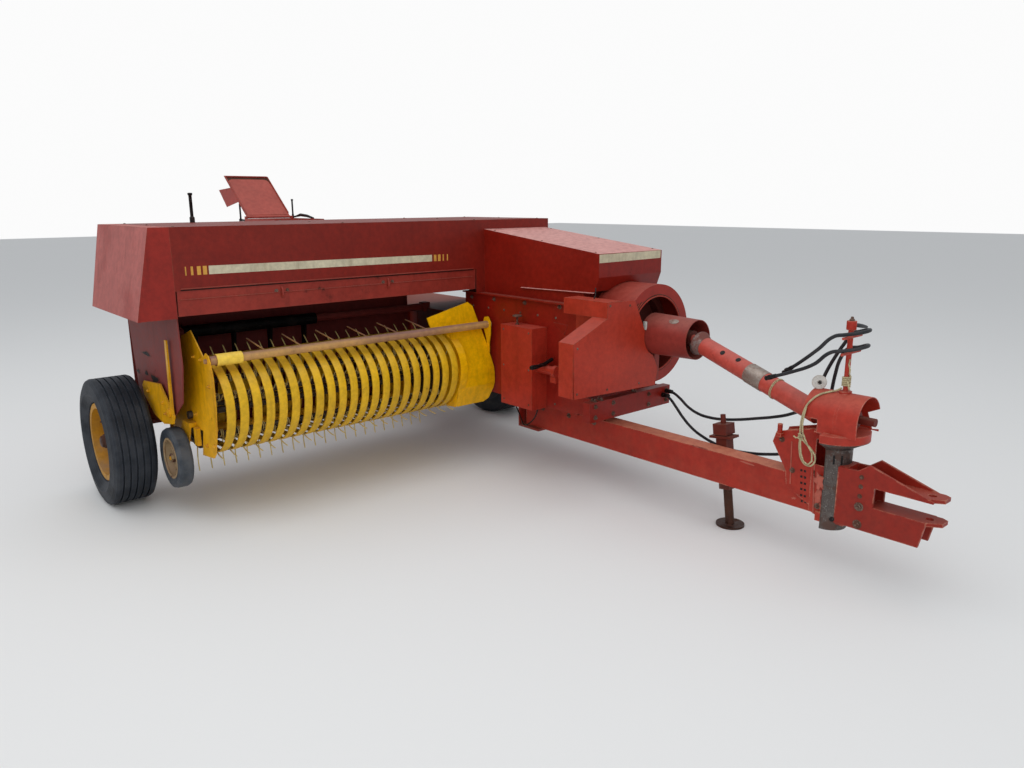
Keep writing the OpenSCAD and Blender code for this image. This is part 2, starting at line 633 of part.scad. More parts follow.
shield_x = 1874;
module front_shield() color(paint_red) machine() {
    difference() {
        plate_yz(shield_x - 4, shield_x) polygon([[-639, 641], [-15, 619], [3, 711], [-39, 786],
            [-121, 941], [-201, 1099], [-409, 1103], [-409, 1022], [-648, 919]]);
        rod_x(shield_x - 5, shield_x + 1, 0, shaft_z, bell_r + 5);
    }
    // Flanges: left, along the slanted edge, underneath, and the box at the top
    block([shield_x - 104, shield_x - 4], [-648, -644], [643, 919]);
    plate_yz(shield_x - 104, shield_x - 4) polygon([[-648, 919], [-409, 1022], [-409, 1017],
        [-647, 914]]);
    plate_yz(shield_x - 104, shield_x - 4) polygon([[-645, 641], [-60, 621], [-60, 625], [-645, 645]]);
    block([1560, shield_x - 4], [-409, -405], [1020, 1103]);
    block([1560, shield_x - 4], [-409, -300], [1099, 1103]);
    block([case_front_x, shield_x - 4], [-304, -300], [640, 1100]);
}

module side_box() color(paint_red) machine() {
    block([1025, 1298], [-case_half_w - 115, -case_half_w], [426, 900]);
    // Pipe to the next guard, with its cup
    rod_x(1298, 1432, -345, 670, 26);
    rod_x(1426, 1452, -345, 670, 34);
    block([1408, 1452], [-362, -328], [607, 650]);
}

bell_r = 112;
module drive_bell() color(paint_red) machine() {
    turned_x(0, 0, shaft_z) polygon([[bell_r - 4, ring_front_x - 20], [bell_r, ring_front_x - 20],
        [bell_r - 8, 2130], [bell_r - 12, 2130]]);
    block([ring_front_x, ring_front_x + 8], [-20, 20], [shaft_z - ring_r + 6, shaft_z - bell_r + 3]);
}

post_x = 3010;
cover_x = [post_x - 130, post_x + 110];
cover_z = 705;
cover_r = 103;
cover_t = 3;
cover_low_z = 640;
wall_x = [post_x + 10, post_x + 20];
pan_x = 2985;
pan_r = 140;
guard_tube_r = 75;
drive_yaw = -11.1;
drive_drop = 14.6;
// the tube starts clear of the flywheel's hub when the tongue swings
drive_start = 64;
drive_link_r = 12;
drive_len = (cover_x[0] + 15 - joint_x) / (cos(drive_yaw) * cos(drive_drop));
module drive_tube() color(paint_red) machine()
    translate([joint_x, 0, shaft_z]) rotate([0, 0, drive_yaw]) rotate([0, drive_drop, 0]) {
        rotate([0, 0, 180]) sphere(r = ball_r);
        rod_x(ball_r / 2, drive_start + drive_link_r, 0, 0, drive_link_r);
        rod_x(drive_start, drive_len, 0, 0, drive_tube_r);
    }

module drive_cover() color(paint_red) machine() {
    difference() {
        union() {
            intersection() {
                rod_x(cover_x[0], cover_x[1], -tongue_y, cover_z, cover_r);
                block(cover_x, [-tongue_y - cover_r, -tongue_y + cover_r], [cover_z - 7, 2 * cover_z]);
            }
            block([cover_x[0] + 70, cover_x[1]], [-tongue_y - cover_r, -tongue_y + cover_r],
                [cover_low_z + 3, cover_z]);
        }
        // Inside, behind and ahead of the bearing's wall
        for (x = [[cover_x[0] - 1, wall_x[0]], [wall_x[1], cover_x[1] + 1]]) {
            rod_x(x[0], x[1], -tongue_y, cover_z, cover_r - cover_t);
            block(x, [-tongue_y - cover_r + cover_t, -tongue_y + cover_r - cover_t],
                [cover_low_z - 1, cover_z]);
        }
        rod_x(wall_x[0] - 1, wall_x[1] + 1, -tongue_y, cover_z, 24 + run_clear);
        // Torn edge at the left of the mouth
        plate_xz(-tongue_y + 60, -tongue_y + cover_r + 1) polygon([[3068, 716], [cover_x[1] + 1, 742],
            [cover_x[1] + 1, 652], [3092, 648]]);
    }
    // Floor over the tongue's plates, with the pan's rim round its front
    block([cover_x[0] + 60, pan_x], [-tongue_y - cover_r, -tongue_y + cover_r],
        [cover_low_z + seat_gap, cover_low_z + 6]);
    translate([pan_x, -tongue_y, 0]) rotate([0, 0, -90]) rotate_extrude(angle = 180)
        polygon([[0, cover_low_z + seat_gap], [0, cover_low_z + 6], [pan_r, cover_low_z + 6],
            [pan_r, 610], [guard_tube_r + 1, 574], [guard_tube_r - 3, 574],
            [guard_tube_r - 3, 577], [pan_r - 4, 614], [pan_r - 4, cover_low_z + seat_gap]]);
    rod_z(cover_z + cover_r - 10, cover_z + cover_r + 8, post_x, -tongue_y, 26);
}

module drive_stub() color(steel_grey) machine()
    turned_x(0, -tongue_y, cover_z) polygon([[0, wall_x[0] - 12], [24, wall_x[0] - 12], [24, 3045],
        [38, 3045], [38, 3075], [stub_r, 3075], [stub_r, 3150], [0, 3150]]);

/* Tongue */
module tongue() color(paint_red) machine() {
    difference() {
        block([tongue_pivot_x - 50, tongue_front_x], [-tongue_y - tongue_w / 2, -tongue_y + tongue_w / 2],
            [tongue_z, tongue_z + tongue_h]);
        block([tongue_pivot_x - 51, tongue_front_x + 1],
            [-tongue_y - tongue_w / 2 + 7, -tongue_y + tongue_w / 2 - 7],
            [tongue_z + 7, tongue_z + tongue_h - 7]);
        rod_z(tongue_z - 1, tongue_z + tongue_h + 1, tongue_pivot_x, -tongue_y,
            tongue_pin_r + run_clear);
    }
    // Side plates of the front post, with a stud on the top plate between them
    for (s = [-1, 1])
        translate([0, -tongue_y + s * (tongue_w / 2 + 3), 0]) {
            plate_xz(-3, 3) polygon([[2725, 541], [2741, 592], [2912, cover_low_z], [pan_x, cover_low_z],
                [pan_x, 598], [2932, 598], [2932, 289], [2806, 349], [2797, 424]]);
            plate_xz(s * 3 - 3, s * 3 + 3) polygon([[2921, 485], [pan_x, 485], [pan_x, 245], [2921, 272]]);
        }
    plate_xz(-tongue_y - tongue_w / 2, -tongue_y + tongue_w / 2) polygon([[2741, 574], [2741, 580],
        [2912, 626], [2975, 626], [2975, 620], [2912, 620]]);
    rod_z(570, 632, 2762, -tongue_y - tongue_w / 2 - 16, 11);
    block([2750, 2776], [-tongue_y - tongue_w / 2 - 30, -tongue_y - tongue_w / 2 - 5], [575, 590]);
    // Worn half tube round the front, with tabs to the side plates
    translate([pan_x, -tongue_y, 0]) rotate([0, 0, -90]) rotate_extrude(angle = 180)
        translate([guard_tube_r - 4, 210]) square([4, 363]);
    for (s = [-1, 1], z = [260, 420])
        translate([pan_x - 12, -tongue_y + s * 63, z]) cube([24, 24, 40], center = true);
}

module hitch_plate(z) translate([0, -tongue_y, z]) linear_extrude(hitch_t) polygon([[3172, -50],
    [hitch_x + 5, -50], [hitch_tip_x, -15], [hitch_tip_x, 35], [hitch_tip_x - 25, 50], [3172, 50]]);
module hitch_clevis() color(paint_red) machine() difference() {
    union() {
        // Saddle on the half tube, and the bolted side brackets
        block([pan_x + 50, pan_x + 92], [-tongue_y - 50, -tongue_y + 50], [240, 505]);
        for (s = [-1, 1])
            plate_xz(-tongue_y + s * 50 - 5, -tongue_y + s * 50 + 5) polygon([[pan_x + 50, 248],
                [3385, 250], [3405, 343], [3405, hitch_low_z], [3196, hitch_low_z], [3196, hitch_high_z],
                [3425, hitch_high_z], [3425, hitch_high_z + 8], [3168, 538], [3120, 503],
                [pan_x + 50, 500]]);
        hitch_plate(hitch_low_z - hitch_t);
        hitch_plate(hitch_high_z);
    }
    rod_z(200, 600, pan_x, -tongue_y, guard_tube_r + seat_gap);
    rod_z(200, 600, hitch_x, -tongue_y, hitch_hole_r);
}

jack_y = tongue_y - tongue_w / 2 - 45;
jack_leg_r = 22;
jack_lean = 8;
// The jack leans back: its top is behind its foot
module jack() translate([jack_x, -jack_y, 0]) rotate([0, -jack_lean, 0]) children();
module jack_tube() color(paint_red) machine() jack() {
    difference() {
        union() {
            block([-30, 30], [-30, 30], [190, 470]);
            block([-38, 38], [-38, 38], [470, 524]);
            block([-62, 62], [-40, 34], [452, 464]);
        }
        rod_z(180, 512, 0, 0, jack_leg_r + run_clear);
    }
    block([-55, 55], [-45, -29], [300, 392]);
    rod_z(520, 568, 0, 0, 13);
}

module jack_leg() color(steel_grey) machine() {
    jack() rod_z(5.5, 290, 0, 0, jack_leg_r);
    rod_z(0, 10, jack_x, -jack_y, 70);
}

hose_r = 8;
bar_r = 6;
module hose_post() color(paint_red) machine() {
    rod_z(cover_z + cover_r + 8, 1114, post_x, -tongue_y, 11);
    // Bars that the hoses lie on
    for (z = hose_bar_z)
        rod_y(-tongue_y - 78, -tongue_y + 78, post_x + 8, z - hose_r - seat_gap - bar_r, bar_r);
}

module latch_rail() color(paint_red) machine() {
    block([1690, 1740], [-case_half_w - 100, case_half_w + 5], [440, 550]);
    for (y = [-case_half_w, case_half_w - 12])
        block([case_front_x, 1690], [y, y + 12], [440, 540]);
}

/* Twine box, knotter, needles */
twine_box_x = [-985, -500];
twine_box_y = [-1060, -705];
twine_box_z = [chamber_top_z + chamber_t + 10, 1490];
lid_hinge_x = twine_box_x[0] - 12;
lid_hinge_z = twine_box_z[1] + 10;
lid_pin_r = 5;
module twine_box() color(paint_red) machine() {
    difference() {
        block(twine_box_x, twine_box_y, twine_box_z);
        block([twine_box_x[0] + 4, twine_box_x[1] - 4], [twine_box_y[0] + 4, twine_box_y[1] - 4],
            [twine_box_z[0] + 4, twine_box_z[1] + 10]);
    }
    // Arms to the chamber's top rail
    for (x = [-960, -580])
        block([x, x + 40], [twine_box_y[0] + 20, -chamber_half - 4],
            [chamber_top_z + chamber_t, twine_box_z[0]]);
    // Hinge lugs and pin of the lid
    for (y = [twine_box_y[0], twine_box_y[1] - 12])
        block([lid_hinge_x - 8, twine_box_x[0] + 4], [y, y + 12], [twine_box_z[1] - 30, lid_hinge_z + 6]);
    rod_y(twine_box_y[0] + 2, twine_box_y[1] - 2, lid_hinge_x, lid_hinge_z, lid_pin_r);
}

module twine_lid() color(paint_red) machine()
    translate([lid_hinge_x, 0, lid_hinge_z]) rotate([0, -141, 0]) difference() {
        union() {
            block([0, 466], [twine_box_y[0] + 14, twine_box_y[1] - 14], [-2, 2]);
            rod_y(twine_box_y[0] + 14, twine_box_y[1] - 14, 0, 0, lid_pin_r + 4);
        }
        rod_y(twine_box_y[0], twine_box_y[1], 0, 0, lid_pin_r + run_clear);
    }

module knotter() color(steel_grey) machine() {
    rod_y(-230, 230, -800, 1080, 20);
    for (s = [-1, 1]) {
        rod_y(s * needle_y - 12, s * needle_y + 12, -800, 1080, 130);
        block([-980, -960], [s * needle_y - 40, s * needle_y + 40], [chamber_top_z + chamber_t, 1090]);
        block([-960, -800], [s * needle_y + 14, s * needle_y + 26], [1060, 1100]);
    }
}

module needle_yoke() color(paint_red) machine() {
    for (s = [-1, 1])
        difference() {
            plate_xz(s * yoke_arm_y - 6, s * yoke_arm_y + 6) polygon([[-440, 735], [-360, 735],
                [-430, 240], [-490, 240]]);
            rod_y(s * yoke_arm_y - 7, s * yoke_arm_y + 7, needle_pivot_x, needle_pivot_z,
                yoke_pin_r + run_clear);
        }
    translate([needle_pivot_x, 0, needle_pivot_z]) {
        rod_y(-yoke_arm_y + 5, yoke_arm_y - 5, needle_r * cos(262), needle_r * sin(262), 18);
        for (s = [-1, 1])
            translate([0, s * needle_y + 6, 0]) rotate([90, 0, 0]) rotate([0, 0, 204])
                rotate_extrude(angle = 58) translate([needle_r - 14, 0]) square([28, 12]);
    }
}

module star_wheel() color(steel_grey) machine() translate([star_x, 0, 985]) rotate([90, 0, 0])
    translate([0, 0, -5]) linear_extrude(10) difference() {
        union() {
            circle(r = 110);
            for (i = [0 : 11]) rotate(i * 30) polygon([[100, -14], [140, 0], [100, 14]]);
        }
        circle(r = 12 + run_clear);
    }

module tension_rails() color(paint_red) machine() {
    for (s = [-1, 1]) {
        rod_z(chamber_top_z + chamber_t, 1200, -1850, s * 200, 12);
        rod_z(1210, 1222, -1850, s * 200, 60);
    }
    block([-1880, -1820], [-240, 240], [1195, 1210]);
    // Star wheel's bracket and pin
    rod_y(-40, 40, star_x, 985, 12);
    for (s = [-1, 1])
        block([star_x - 20, star_x + 20], [s * 36 - 4, s * 36 + 4], [chamber_top_z + chamber_t, 1010]);
}

/* Hoses and rope */
// Rings of a tube swept along points, each square to the route
function unit(v) = v / norm(v);
function heading(p, i) = unit(p[min(i + 1, len(p) - 1)] - p[max(i - 1, 0)]);
function across(d) = unit(cross(d, abs(d[2]) > 0.8 ? [0, 1, 0] : [0, 0, 1]));
function ring(p, i, r, n) = let(d = heading(p, i), a = across(d), b = cross(d, a))
    [for (k = [0 : n - 1]) p[i] + r * (cos(k * 360 / n) * a + sin(k * 360 / n) * b)];
module swept_tube(p, r, n) {
    last = (len(p) - 1) * n;
    polyhedron(points = [for (i = [0 : len(p) - 1]) each ring(p, i, r, n)],
        faces = concat([[for (k = [0 : n - 1]) k]], [[for (k = [n - 1 : -1 : 0]) last + k]],
            [for (i = [0 : len(p) - 2], k = [0 : n - 1])
                [i * n + k, (i + 1) * n + k, (i + 1) * n + (k + 1) % n, i * n + (k + 1) % n]]));
}

hose_bar_z = [1062, 995];
hose_lift_path = [[1740.3, 255, 520], [1760, 255, 520], [1800, 250, 517], [1860, 236, 497], [1930, 214, 468],
    [2020, 188, 450], [2120, 162, 452], [2230, 135, 470], [2340, 108, 498], [2450, 80, 532], [2560, 48, 568],
    [2660, 14, 608], [2740, -18, 655], [2795, -38, 715], [2830, -45, 785], [2860, -50, 860],
    [2900, -62, 935], [2945, -84, 1000], [2985, -99, 1052], [3018, -105, 1063], [3054, -118, 1075],
    [3078, -148, 1080], [3080, -186, 1078], [3058, -218, 1072], [3018, -235, 1063], [2975, -236, 1052],
    [2900, -222, 985], [2820, -200, 920], [2737, -180, 858]];
hose_tension_path = [[1740.3, 225, 500], [1760, 225, 500], [1795, 221, 490], [1850, 208, 455],
    [1920, 190, 405], [2000, 172, 362], [2090, 150, 338], [2200, 122, 326], [2320, 92, 330], [2440, 62, 350],
    [2550, 34, 378], [2650, 8, 412], [2740, -14, 460], [2810, -24, 525], [2850, -26, 600],
    [2868, -28, 680], [2880, -32, 760], [2895, -42, 845], [2925, -66, 930], [2968, -90, 982],
    [3018, -105, 996], [3054, -118, 1010], [3078, -148, 1016], [3080, -186, 1014], [3058, -218, 1006],
    [3018, -235, 996], [2965, -236, 983], [2890, -228, 920], [2780, -216, 866], [2669, -205, 822]];
trip_rope_path = [[2994.5, -172, 826], [2980, -184, 816], [2955, -205, 807], [2930, -231, 796],
    [2910, -255.2, 774], [2896, -271.3, 746.5], [2888, -278.5, 712], [2884, -283, 672],
    [2886, -285, 610], [2889, -286, 550],
    [2904, -286, 508], [2934, -286, 491], [2958, -287, 508], [2962, -288, 538], [2945, -290, 566],
    [2918, -293, 590], [2897, -297, 612]];

module hose_lift() color(hose_black) machine() swept_tube(hose_lift_path, hose_r, 8);
module hose_tension() color(hose_black) machine() swept_tube(hose_tension_path, hose_r, 8);
module trip_rope() color(twine_cream) machine() swept_tube(trip_rope_path, 4, 8);

bale_chamber();
plunger_case();
hood();
gearbox();
feeder_housing();
shroud();
flap();
end_cap();
axle();
axle_ends();
right_tyre();
right_rim();
left_tyre();
left_rim();
pickup_frame();
stripper_bands();
pickup_flare();
reel();
gauge_tyre();
gauge_rim();
wind_guard();
flywheel();
flywheel_shield();
front_shield();
side_box();
drive_bell();
drive_tube();
drive_cover();
drive_stub();
tongue();
hitch_clevis();
jack_tube();
jack_leg();
hose_post();
latch_rail();
twine_box();
twine_lid();
knotter();
needle_yoke();
star_wheel();
tension_rails();
feeder_carriage();
hose_lift();
hose_tension();
trip_rope();
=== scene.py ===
import bpy, bmesh, math, random
from mathutils import Matrix, Vector
from mathutils.geometry import interpolate_bezier


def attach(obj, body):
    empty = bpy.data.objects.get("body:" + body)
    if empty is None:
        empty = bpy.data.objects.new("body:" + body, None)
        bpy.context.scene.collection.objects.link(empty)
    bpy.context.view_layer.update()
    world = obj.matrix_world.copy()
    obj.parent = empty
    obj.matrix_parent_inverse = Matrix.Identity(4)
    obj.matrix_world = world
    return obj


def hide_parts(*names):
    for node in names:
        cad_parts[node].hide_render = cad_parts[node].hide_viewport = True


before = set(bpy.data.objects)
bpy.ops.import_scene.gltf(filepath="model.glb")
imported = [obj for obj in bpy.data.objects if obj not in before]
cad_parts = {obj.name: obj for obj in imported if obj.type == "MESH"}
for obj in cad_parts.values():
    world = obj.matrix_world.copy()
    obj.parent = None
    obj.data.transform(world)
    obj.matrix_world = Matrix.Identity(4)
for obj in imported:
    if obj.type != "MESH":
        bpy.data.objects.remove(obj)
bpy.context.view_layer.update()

machineOffset = Vector((-0.7525, 0.87075, 0))  # the machine's own origin lies under the right wheel's axle line


def spot(x, y, z):
    return Vector((x, y, z)) + machineOffset


# ---- camera, from the photograph ----
camera = {"lens": 27.48, "place": (4.5189, -3.3182, 1.599), "yaw": 40.682, "pitch": 13.136, "roll": -0.286}


def makeCamera():
    data = bpy.data.cameras.new("camera")
    data.lens = camera["lens"]
    data.sensor_width = 36
    data.clip_end = 200
    eye = bpy.data.objects.new("camera", data)
    bpy.context.scene.collection.objects.link(eye)
    turn = Matrix.Rotation(math.radians(90 - camera["yaw"]), 4, "Z")
    tilt = Matrix.Rotation(math.radians(90 - camera["pitch"]), 4, "X")
    roll = Matrix.Rotation(math.radians(camera["roll"]), 4, "Z")
    eye.matrix_world = Matrix.Translation(spot(*camera["place"])) @ turn @ tilt @ roll
    bpy.context.scene.camera = eye


makeCamera()
print("camera placed")

# ---- hoses and the trip rope ----
cords = {
    "hoseRadius": 0.008,
    "ropeRadius": 0.004,
    "lift": [(1740.3, 255, 520), (1760, 255, 520), (1800, 250, 517), (1860, 236, 497), (1930, 214, 468),
             (2020, 188, 450), (2120, 162, 452), (2230, 135, 470), (2340, 108, 498), (2450, 80, 532),
             (2560, 48, 568), (2660, 14, 608), (2740, -18, 655), (2795, -38, 715), (2830, -45, 785),
             (2860, -50, 860), (2900, -62, 935), (2945, -84, 1000), (2985, -99, 1052), (3018, -105, 1063),
             (3054, -118, 1075), (3078, -148, 1080), (3080, -186, 1078), (3058, -218, 1072),
             (3018, -235, 1063), (2975, -236, 1052), (2900, -222, 985), (2820, -200, 920), (2737, -180, 858)],
    "tension": [(1740.3, 225, 500), (1760, 225, 500), (1795, 221, 490), (1850, 208, 455), (1920, 190, 405),
                (2000, 172, 362), (2090, 150, 338), (2200, 122, 326), (2320, 92, 330), (2440, 62, 350),
                (2550, 34, 378), (2650, 8, 412), (2740, -14, 460), (2810, -24, 525), (2850, -26, 600),
                (2868, -28, 680), (2880, -32, 760), (2895, -42, 845), (2925, -66, 930), (2968, -90, 982),
                (3018, -105, 996), (3054, -118, 1010), (3078, -148, 1016), (3080, -186, 1014),
                (3058, -218, 1006), (3018, -235, 996), (2965, -236, 983), (2890, -228, 920),
                (2780, -216, 866), (2669, -205, 822)],
    "rope": [(2994.5, -172, 826), (2980, -184, 816), (2955, -205, 807), (2930, -231, 796),
             (2910, -255.2, 774), (2896, -271.3, 746.5), (2888, -278.5, 712), (2884, -283, 672),
             (2886, -285, 610), (2889, -286, 550), (2904, -286, 508), (2934, -286, 491), (2958, -287, 508),
             (2962, -288, 538), (2945, -290, 566), (2918, -293, 590), (2897, -297, 612)],
}


def makeCord(name, node, route, radius):
    curve = bpy.data.curves.new(name, "CURVE")
    curve.dimensions = "3D"
    curve.resolution_u = 8
    curve.bevel_depth = radius
    curve.bevel_resolution = 3
    curve.use_fill_caps = True
    line = curve.splines.new("BEZIER")
    line.bezier_points.add(len(route) - 1)
    for point, place in zip(line.bezier_points, route):
        point.co = spot(place[0] / 1000, place[1] / 1000, place[2] / 1000)
        point.handle_left_type = point.handle_right_type = "AUTO"
    cord = bpy.data.objects.new(name, curve)
    bpy.context.scene.collection.objects.link(cord)
    bpy.context.view_layer.update()
    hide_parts(node)
    length = 0
    for a, b in zip(line.bezier_points[:-1], line.bezier_points[1:]):
        steps = interpolate_bezier(a.co, a.handle_right, b.handle_left, b.co, 24)
        length += sum((q - p).length for p, q in zip(steps[:-1], steps[1:]))
    print(name, "is", round(length, 4), "m long")
    return cord, length


liftHose, liftLength = makeCord("lift_hose", "hose_lift", cords["lift"], cords["hoseRadius"])
tensionHose, tensionLength = makeCord("tension_hose", "hose_tension", cords["tension"], cords["hoseRadius"])
tripRope, tripLength = makeCord("trip_cord", "trip_rope", cords["rope"], cords["ropeRadius"])

# ---- node tools for the finishes ----


def put(tree, kind, inputs=None, **settings):
    node = tree.nodes.new("ShaderNode" + kind)
    for key, value in settings.items():
        setattr(node, key, value)
    for key, value in (inputs or {}).items():
        if isinstance(value, bpy.types.NodeSocket):
            tree.links.new(value, node.inputs[key])
        else:
            node.inputs[key].default_value = value
    return node


def calc(tree, operation, a, b=0.0, clamp=False):
    return put(tree, "Math", {0: a, 1: b}, operation=operation, use_clamp=clamp).outputs[0]


def times(tree, a, b, clamp=False):
    return calc(tree, "MULTIPLY", a, b, clamp)


def plus(tree, a, b, clamp=False):
    return calc(tree, "ADD", a, b, clamp)


def minus(tree, a, b, clamp=False):
    return calc(tree, "SUBTRACT", a, b, clamp)


def noise(tree, place, scale, detail=3, rough=0.55):
    inputs = {"Vector": place, "Scale": scale, "Detail": detail, "Roughness": rough}
    return put(tree, "TexNoise", inputs).outputs["Fac"]


def ease(tree, value, low, high, least=0.0, most=1.0):
    inputs = {"Value": value, "From Min": low, "From Max": high, "To Min": least, "To Max": most}
    return put(tree, "MapRange", inputs, interpolation_type="SMOOTHSTEP").outputs["Result"]


def mixColor(tree, amount, a, b, blend="MIX"):
    return put(tree, "Mix", {0: amount, 6: a, 7: b}, data_type="RGBA", blend_type=blend).outputs[2]


def rgb(*levels):  # sRGB levels up to 255, made linear
    return tuple(v / 255 / 12.92 if v < 11 else ((v / 255 + 0.055) / 1.055) ** 2.4 for v in levels) + (1,)


def newGroup(name, colors, numbers, outputs):
    group = bpy.data.node_groups.new(name, "ShaderNodeTree")
    for key in colors:
        group.interface.new_socket(key, in_out="INPUT", socket_type="NodeSocketColor")
    for key in numbers:
        group.interface.new_socket(key, in_out="INPUT", socket_type="NodeSocketFloat")
    for key in outputs:
        kind = "NodeSocketColor" if key == "Color" else "NodeSocketFloat"
        group.interface.new_socket(key, in_out="OUTPUT", socket_type=kind)
    return group, group.nodes.new("NodeGroupInput").outputs, group.nodes.new("NodeGroupOutput").inputs


def deliver(tree, out, **values):
    for key, value in values.items():
        tree.links.new(value, out[key])


def shiftedPlace(tree, given):
    coords = tree.nodes.new("ShaderNodeTexCoord").outputs
    moved = put(tree, "VectorMath", {0: coords["Object"], 1: given["Shift"]}, operation="ADD")
    return coords, moved.outputs[0]


def edgeTurn(tree, radius):  # how far the rounded normal leaves the flat one, high along edges
    rounded = put(tree, "Bevel", {"Radius": radius}, samples=3).outputs[0]
    flat = tree.nodes.new("ShaderNodeNewGeometry").outputs["Normal"]
    same = put(tree, "VectorMath", {0: rounded, 1: flat}, operation="DOT_PRODUCT").outputs["Value"]
    return minus(tree, 1.0, same)


def makeWornPaint():
    t, given, out = newGroup("wornPaint", ["Paint", "Faded", "Rust", "Bare", "DustAndSheen"],
                             ["Fading", "FrontDarker", "Rusting", "EdgeWear", "TopDustAndSheen", "Streaks", "Mud",
                              "Gloss", "Shift"],
                             ["Color", "Roughness", "Metallic", "Height"])
    coords, place = shiftedPlace(t, given)
    ahead, _, up = put(t, "SeparateXYZ", {0: coords["Normal"]}).outputs
    level = put(t, "SeparateXYZ", {0: coords["Object"]}).outputs[2]
    fine = noise(t, place, 34, 5, 0.7)
    speck = noise(t, place, 170, 2, 0.6)
    grain = minus(t, fine, 0.5)
    upright = minus(t, 1.0, calc(t, "ABSOLUTE", up), True)
    facing = ease(t, up, 0.3, 0.95)
    # sun fading, strongest on top faces, where the lighter colour is partly a painted sky reflection
    fadeAndSheen = times(t, given["Fading"], ease(t, noise(t, place, 1.7, 6, 0.62), 0.32, 0.66, 0.35, 1.0))
    fadeAndSheen = plus(t, fadeAndSheen, times(t, times(t, facing, 0.45), given["Fading"]), True)
    # faces turned to the front take less of the faded colour and stay darker
    frontward = times(t, given["FrontDarker"], ease(t, ahead, 0.3, 0.8))
    fadeAndSheen = times(t, fadeAndSheen, minus(t, 1.0, frontward, True))
    color = mixColor(t, fadeAndSheen, given["Paint"], given["Faded"])
    color = mixColor(t, 1.0, color, ease(t, fine, 0.28, 0.72, 0.84, 1.1), "MULTIPLY")
    color = mixColor(t, 1.0, color, ease(t, noise(t, place, 5.5, 4, 0.6), 0.3, 0.7, 0.9, 1.06), "MULTIPLY")
    # rain streaks run down upright faces
    lines = put(t, "Mapping", {"Vector": place, "Scale": (11, 11, 0.9)}).outputs[0]
    streak = times(t, ease(t, noise(t, lines, 2.2, 5, 0.6), 0.5, 0.74), upright)
    streak = times(t, streak, given["Streaks"])
    color = mixColor(t, streak, color, mixColor(t, 0.6, color, given["DustAndSheen"], "MULTIPLY"))
    # rust breaks through in spots, with a stained edge
    seed = plus(t, noise(t, place, 7, 8, 0.68), times(t, grain, 0.35))
    broken = minus(t, seed, minus(t, 0.8, times(t, given["Rusting"], 0.34)))
    rust = ease(t, broken, -0.015, 0.03)
    stain = ease(t, broken, -0.1, 0.02, 0.0, 0.55)
    color = mixColor(t, stain, color, mixColor(t, 0.7, color, given["Rust"], "MULTIPLY"))
    deep = mixColor(t, 0.55, given["Rust"], (0.02, 0.012, 0.01, 1))
    color = mixColor(t, rust, color, mixColor(t, speck, given["Rust"], deep))
    # edges rubbed through
    edge = times(t, ease(t, edgeTurn(t, 0.007), 0.01, 0.16), ease(t, noise(t, place, 19, 5, 0.75), 0.4, 0.6))
    edge = times(t, edge, given["EdgeWear"], True)
    color = mixColor(t, edge, color, given["Bare"])
    # dust settles on top faces, mud near the ground; on the hood the top-face layer is a pinkish painted sky
    # reflection
    dustAndSheen = times(t, times(t, facing, ease(t, fine, 0.3, 0.62, 0.55, 1.0)), given["TopDustAndSheen"])
    low = times(t, ease(t, level, 0.55, 0.05), ease(t, noise(t, place, 12, 5, 0.65), 0.38, 0.62))
    dustAndSheen = plus(t, dustAndSheen, times(t, low, given["Mud"]), True)
    color = mixColor(t, dustAndSheen, color, given["DustAndSheen"])
    rough = plus(t, given["Gloss"], times(t, fadeAndSheen, 0.2))
    for mask in (rust, dustAndSheen):
        rough = plus(t, rough, times(t, mask, 0.35))
    rough = plus(t, rough, times(t, grain, 0.25), True)
    height = plus(t, times(t, rust, minus(t, speck, 0.9)), times(t, edge, -0.6))
    height = plus(t, height, times(t, fine, 0.12))
    height = plus(t, height, times(t, noise(t, place, 3.2, 2, 0.5), 1.6))  # slow dents in the sheet
    deliver(t, out, Color=color, Roughness=rough, Metallic=times(t, edge, 0.25), Height=height)
    return t


def makeWornMetal():
    t, given, out = newGroup("wornMetal", ["Metal", "Rust", "Grime"], ["Rusting", "Polish", "Scratches", "Shift"],
                             ["Color", "Roughness", "Metallic", "Height"])
    _, place = shiftedPlace(t, given)
    fine = noise(t, place, 55, 5, 0.7)
    speck = noise(t, place, 240, 2, 0.6)
    grain = minus(t, fine, 0.5)
    lines = put(t, "Mapping", {"Vector": place, "Rotation": (0.3, 0.8, 0.5), "Scale": (260, 16, 260)}).outputs[0]
    scratch = times(t, ease(t, noise(t, lines, 1.4, 3, 0.5), 0.6, 0.72), given["Scratches"])
    limit = minus(t, 0.8, times(t, given["Rusting"], 0.55))
    seed = plus(t, noise(t, place, 9, 6, 0.65), times(t, grain, 0.5))
    rust = ease(t, minus(t, seed, limit), -0.05, 0.06)
    color = mixColor(t, ease(t, fine, 0.3, 0.7, 0.0, 0.5), given["Metal"], given["Grime"])
    color = mixColor(t, scratch, color, (0.55, 0.53, 0.5, 1))
    deep = mixColor(t, 0.5, given["Rust"], given["Grime"])
    color = mixColor(t, rust, color, mixColor(t, speck, given["Rust"], deep))
    rough = plus(t, given["Polish"], times(t, rust, 0.45))
    rough = plus(t, rough, times(t, grain, 0.3), True)
    height = minus(t, times(t, rust, speck), times(t, scratch, 0.4))
    metal = times(t, minus(t, 1.0, rust), 0.75)
    deliver(t, out, Color=color, Roughness=rough, Metallic=metal, Height=height)
    return t


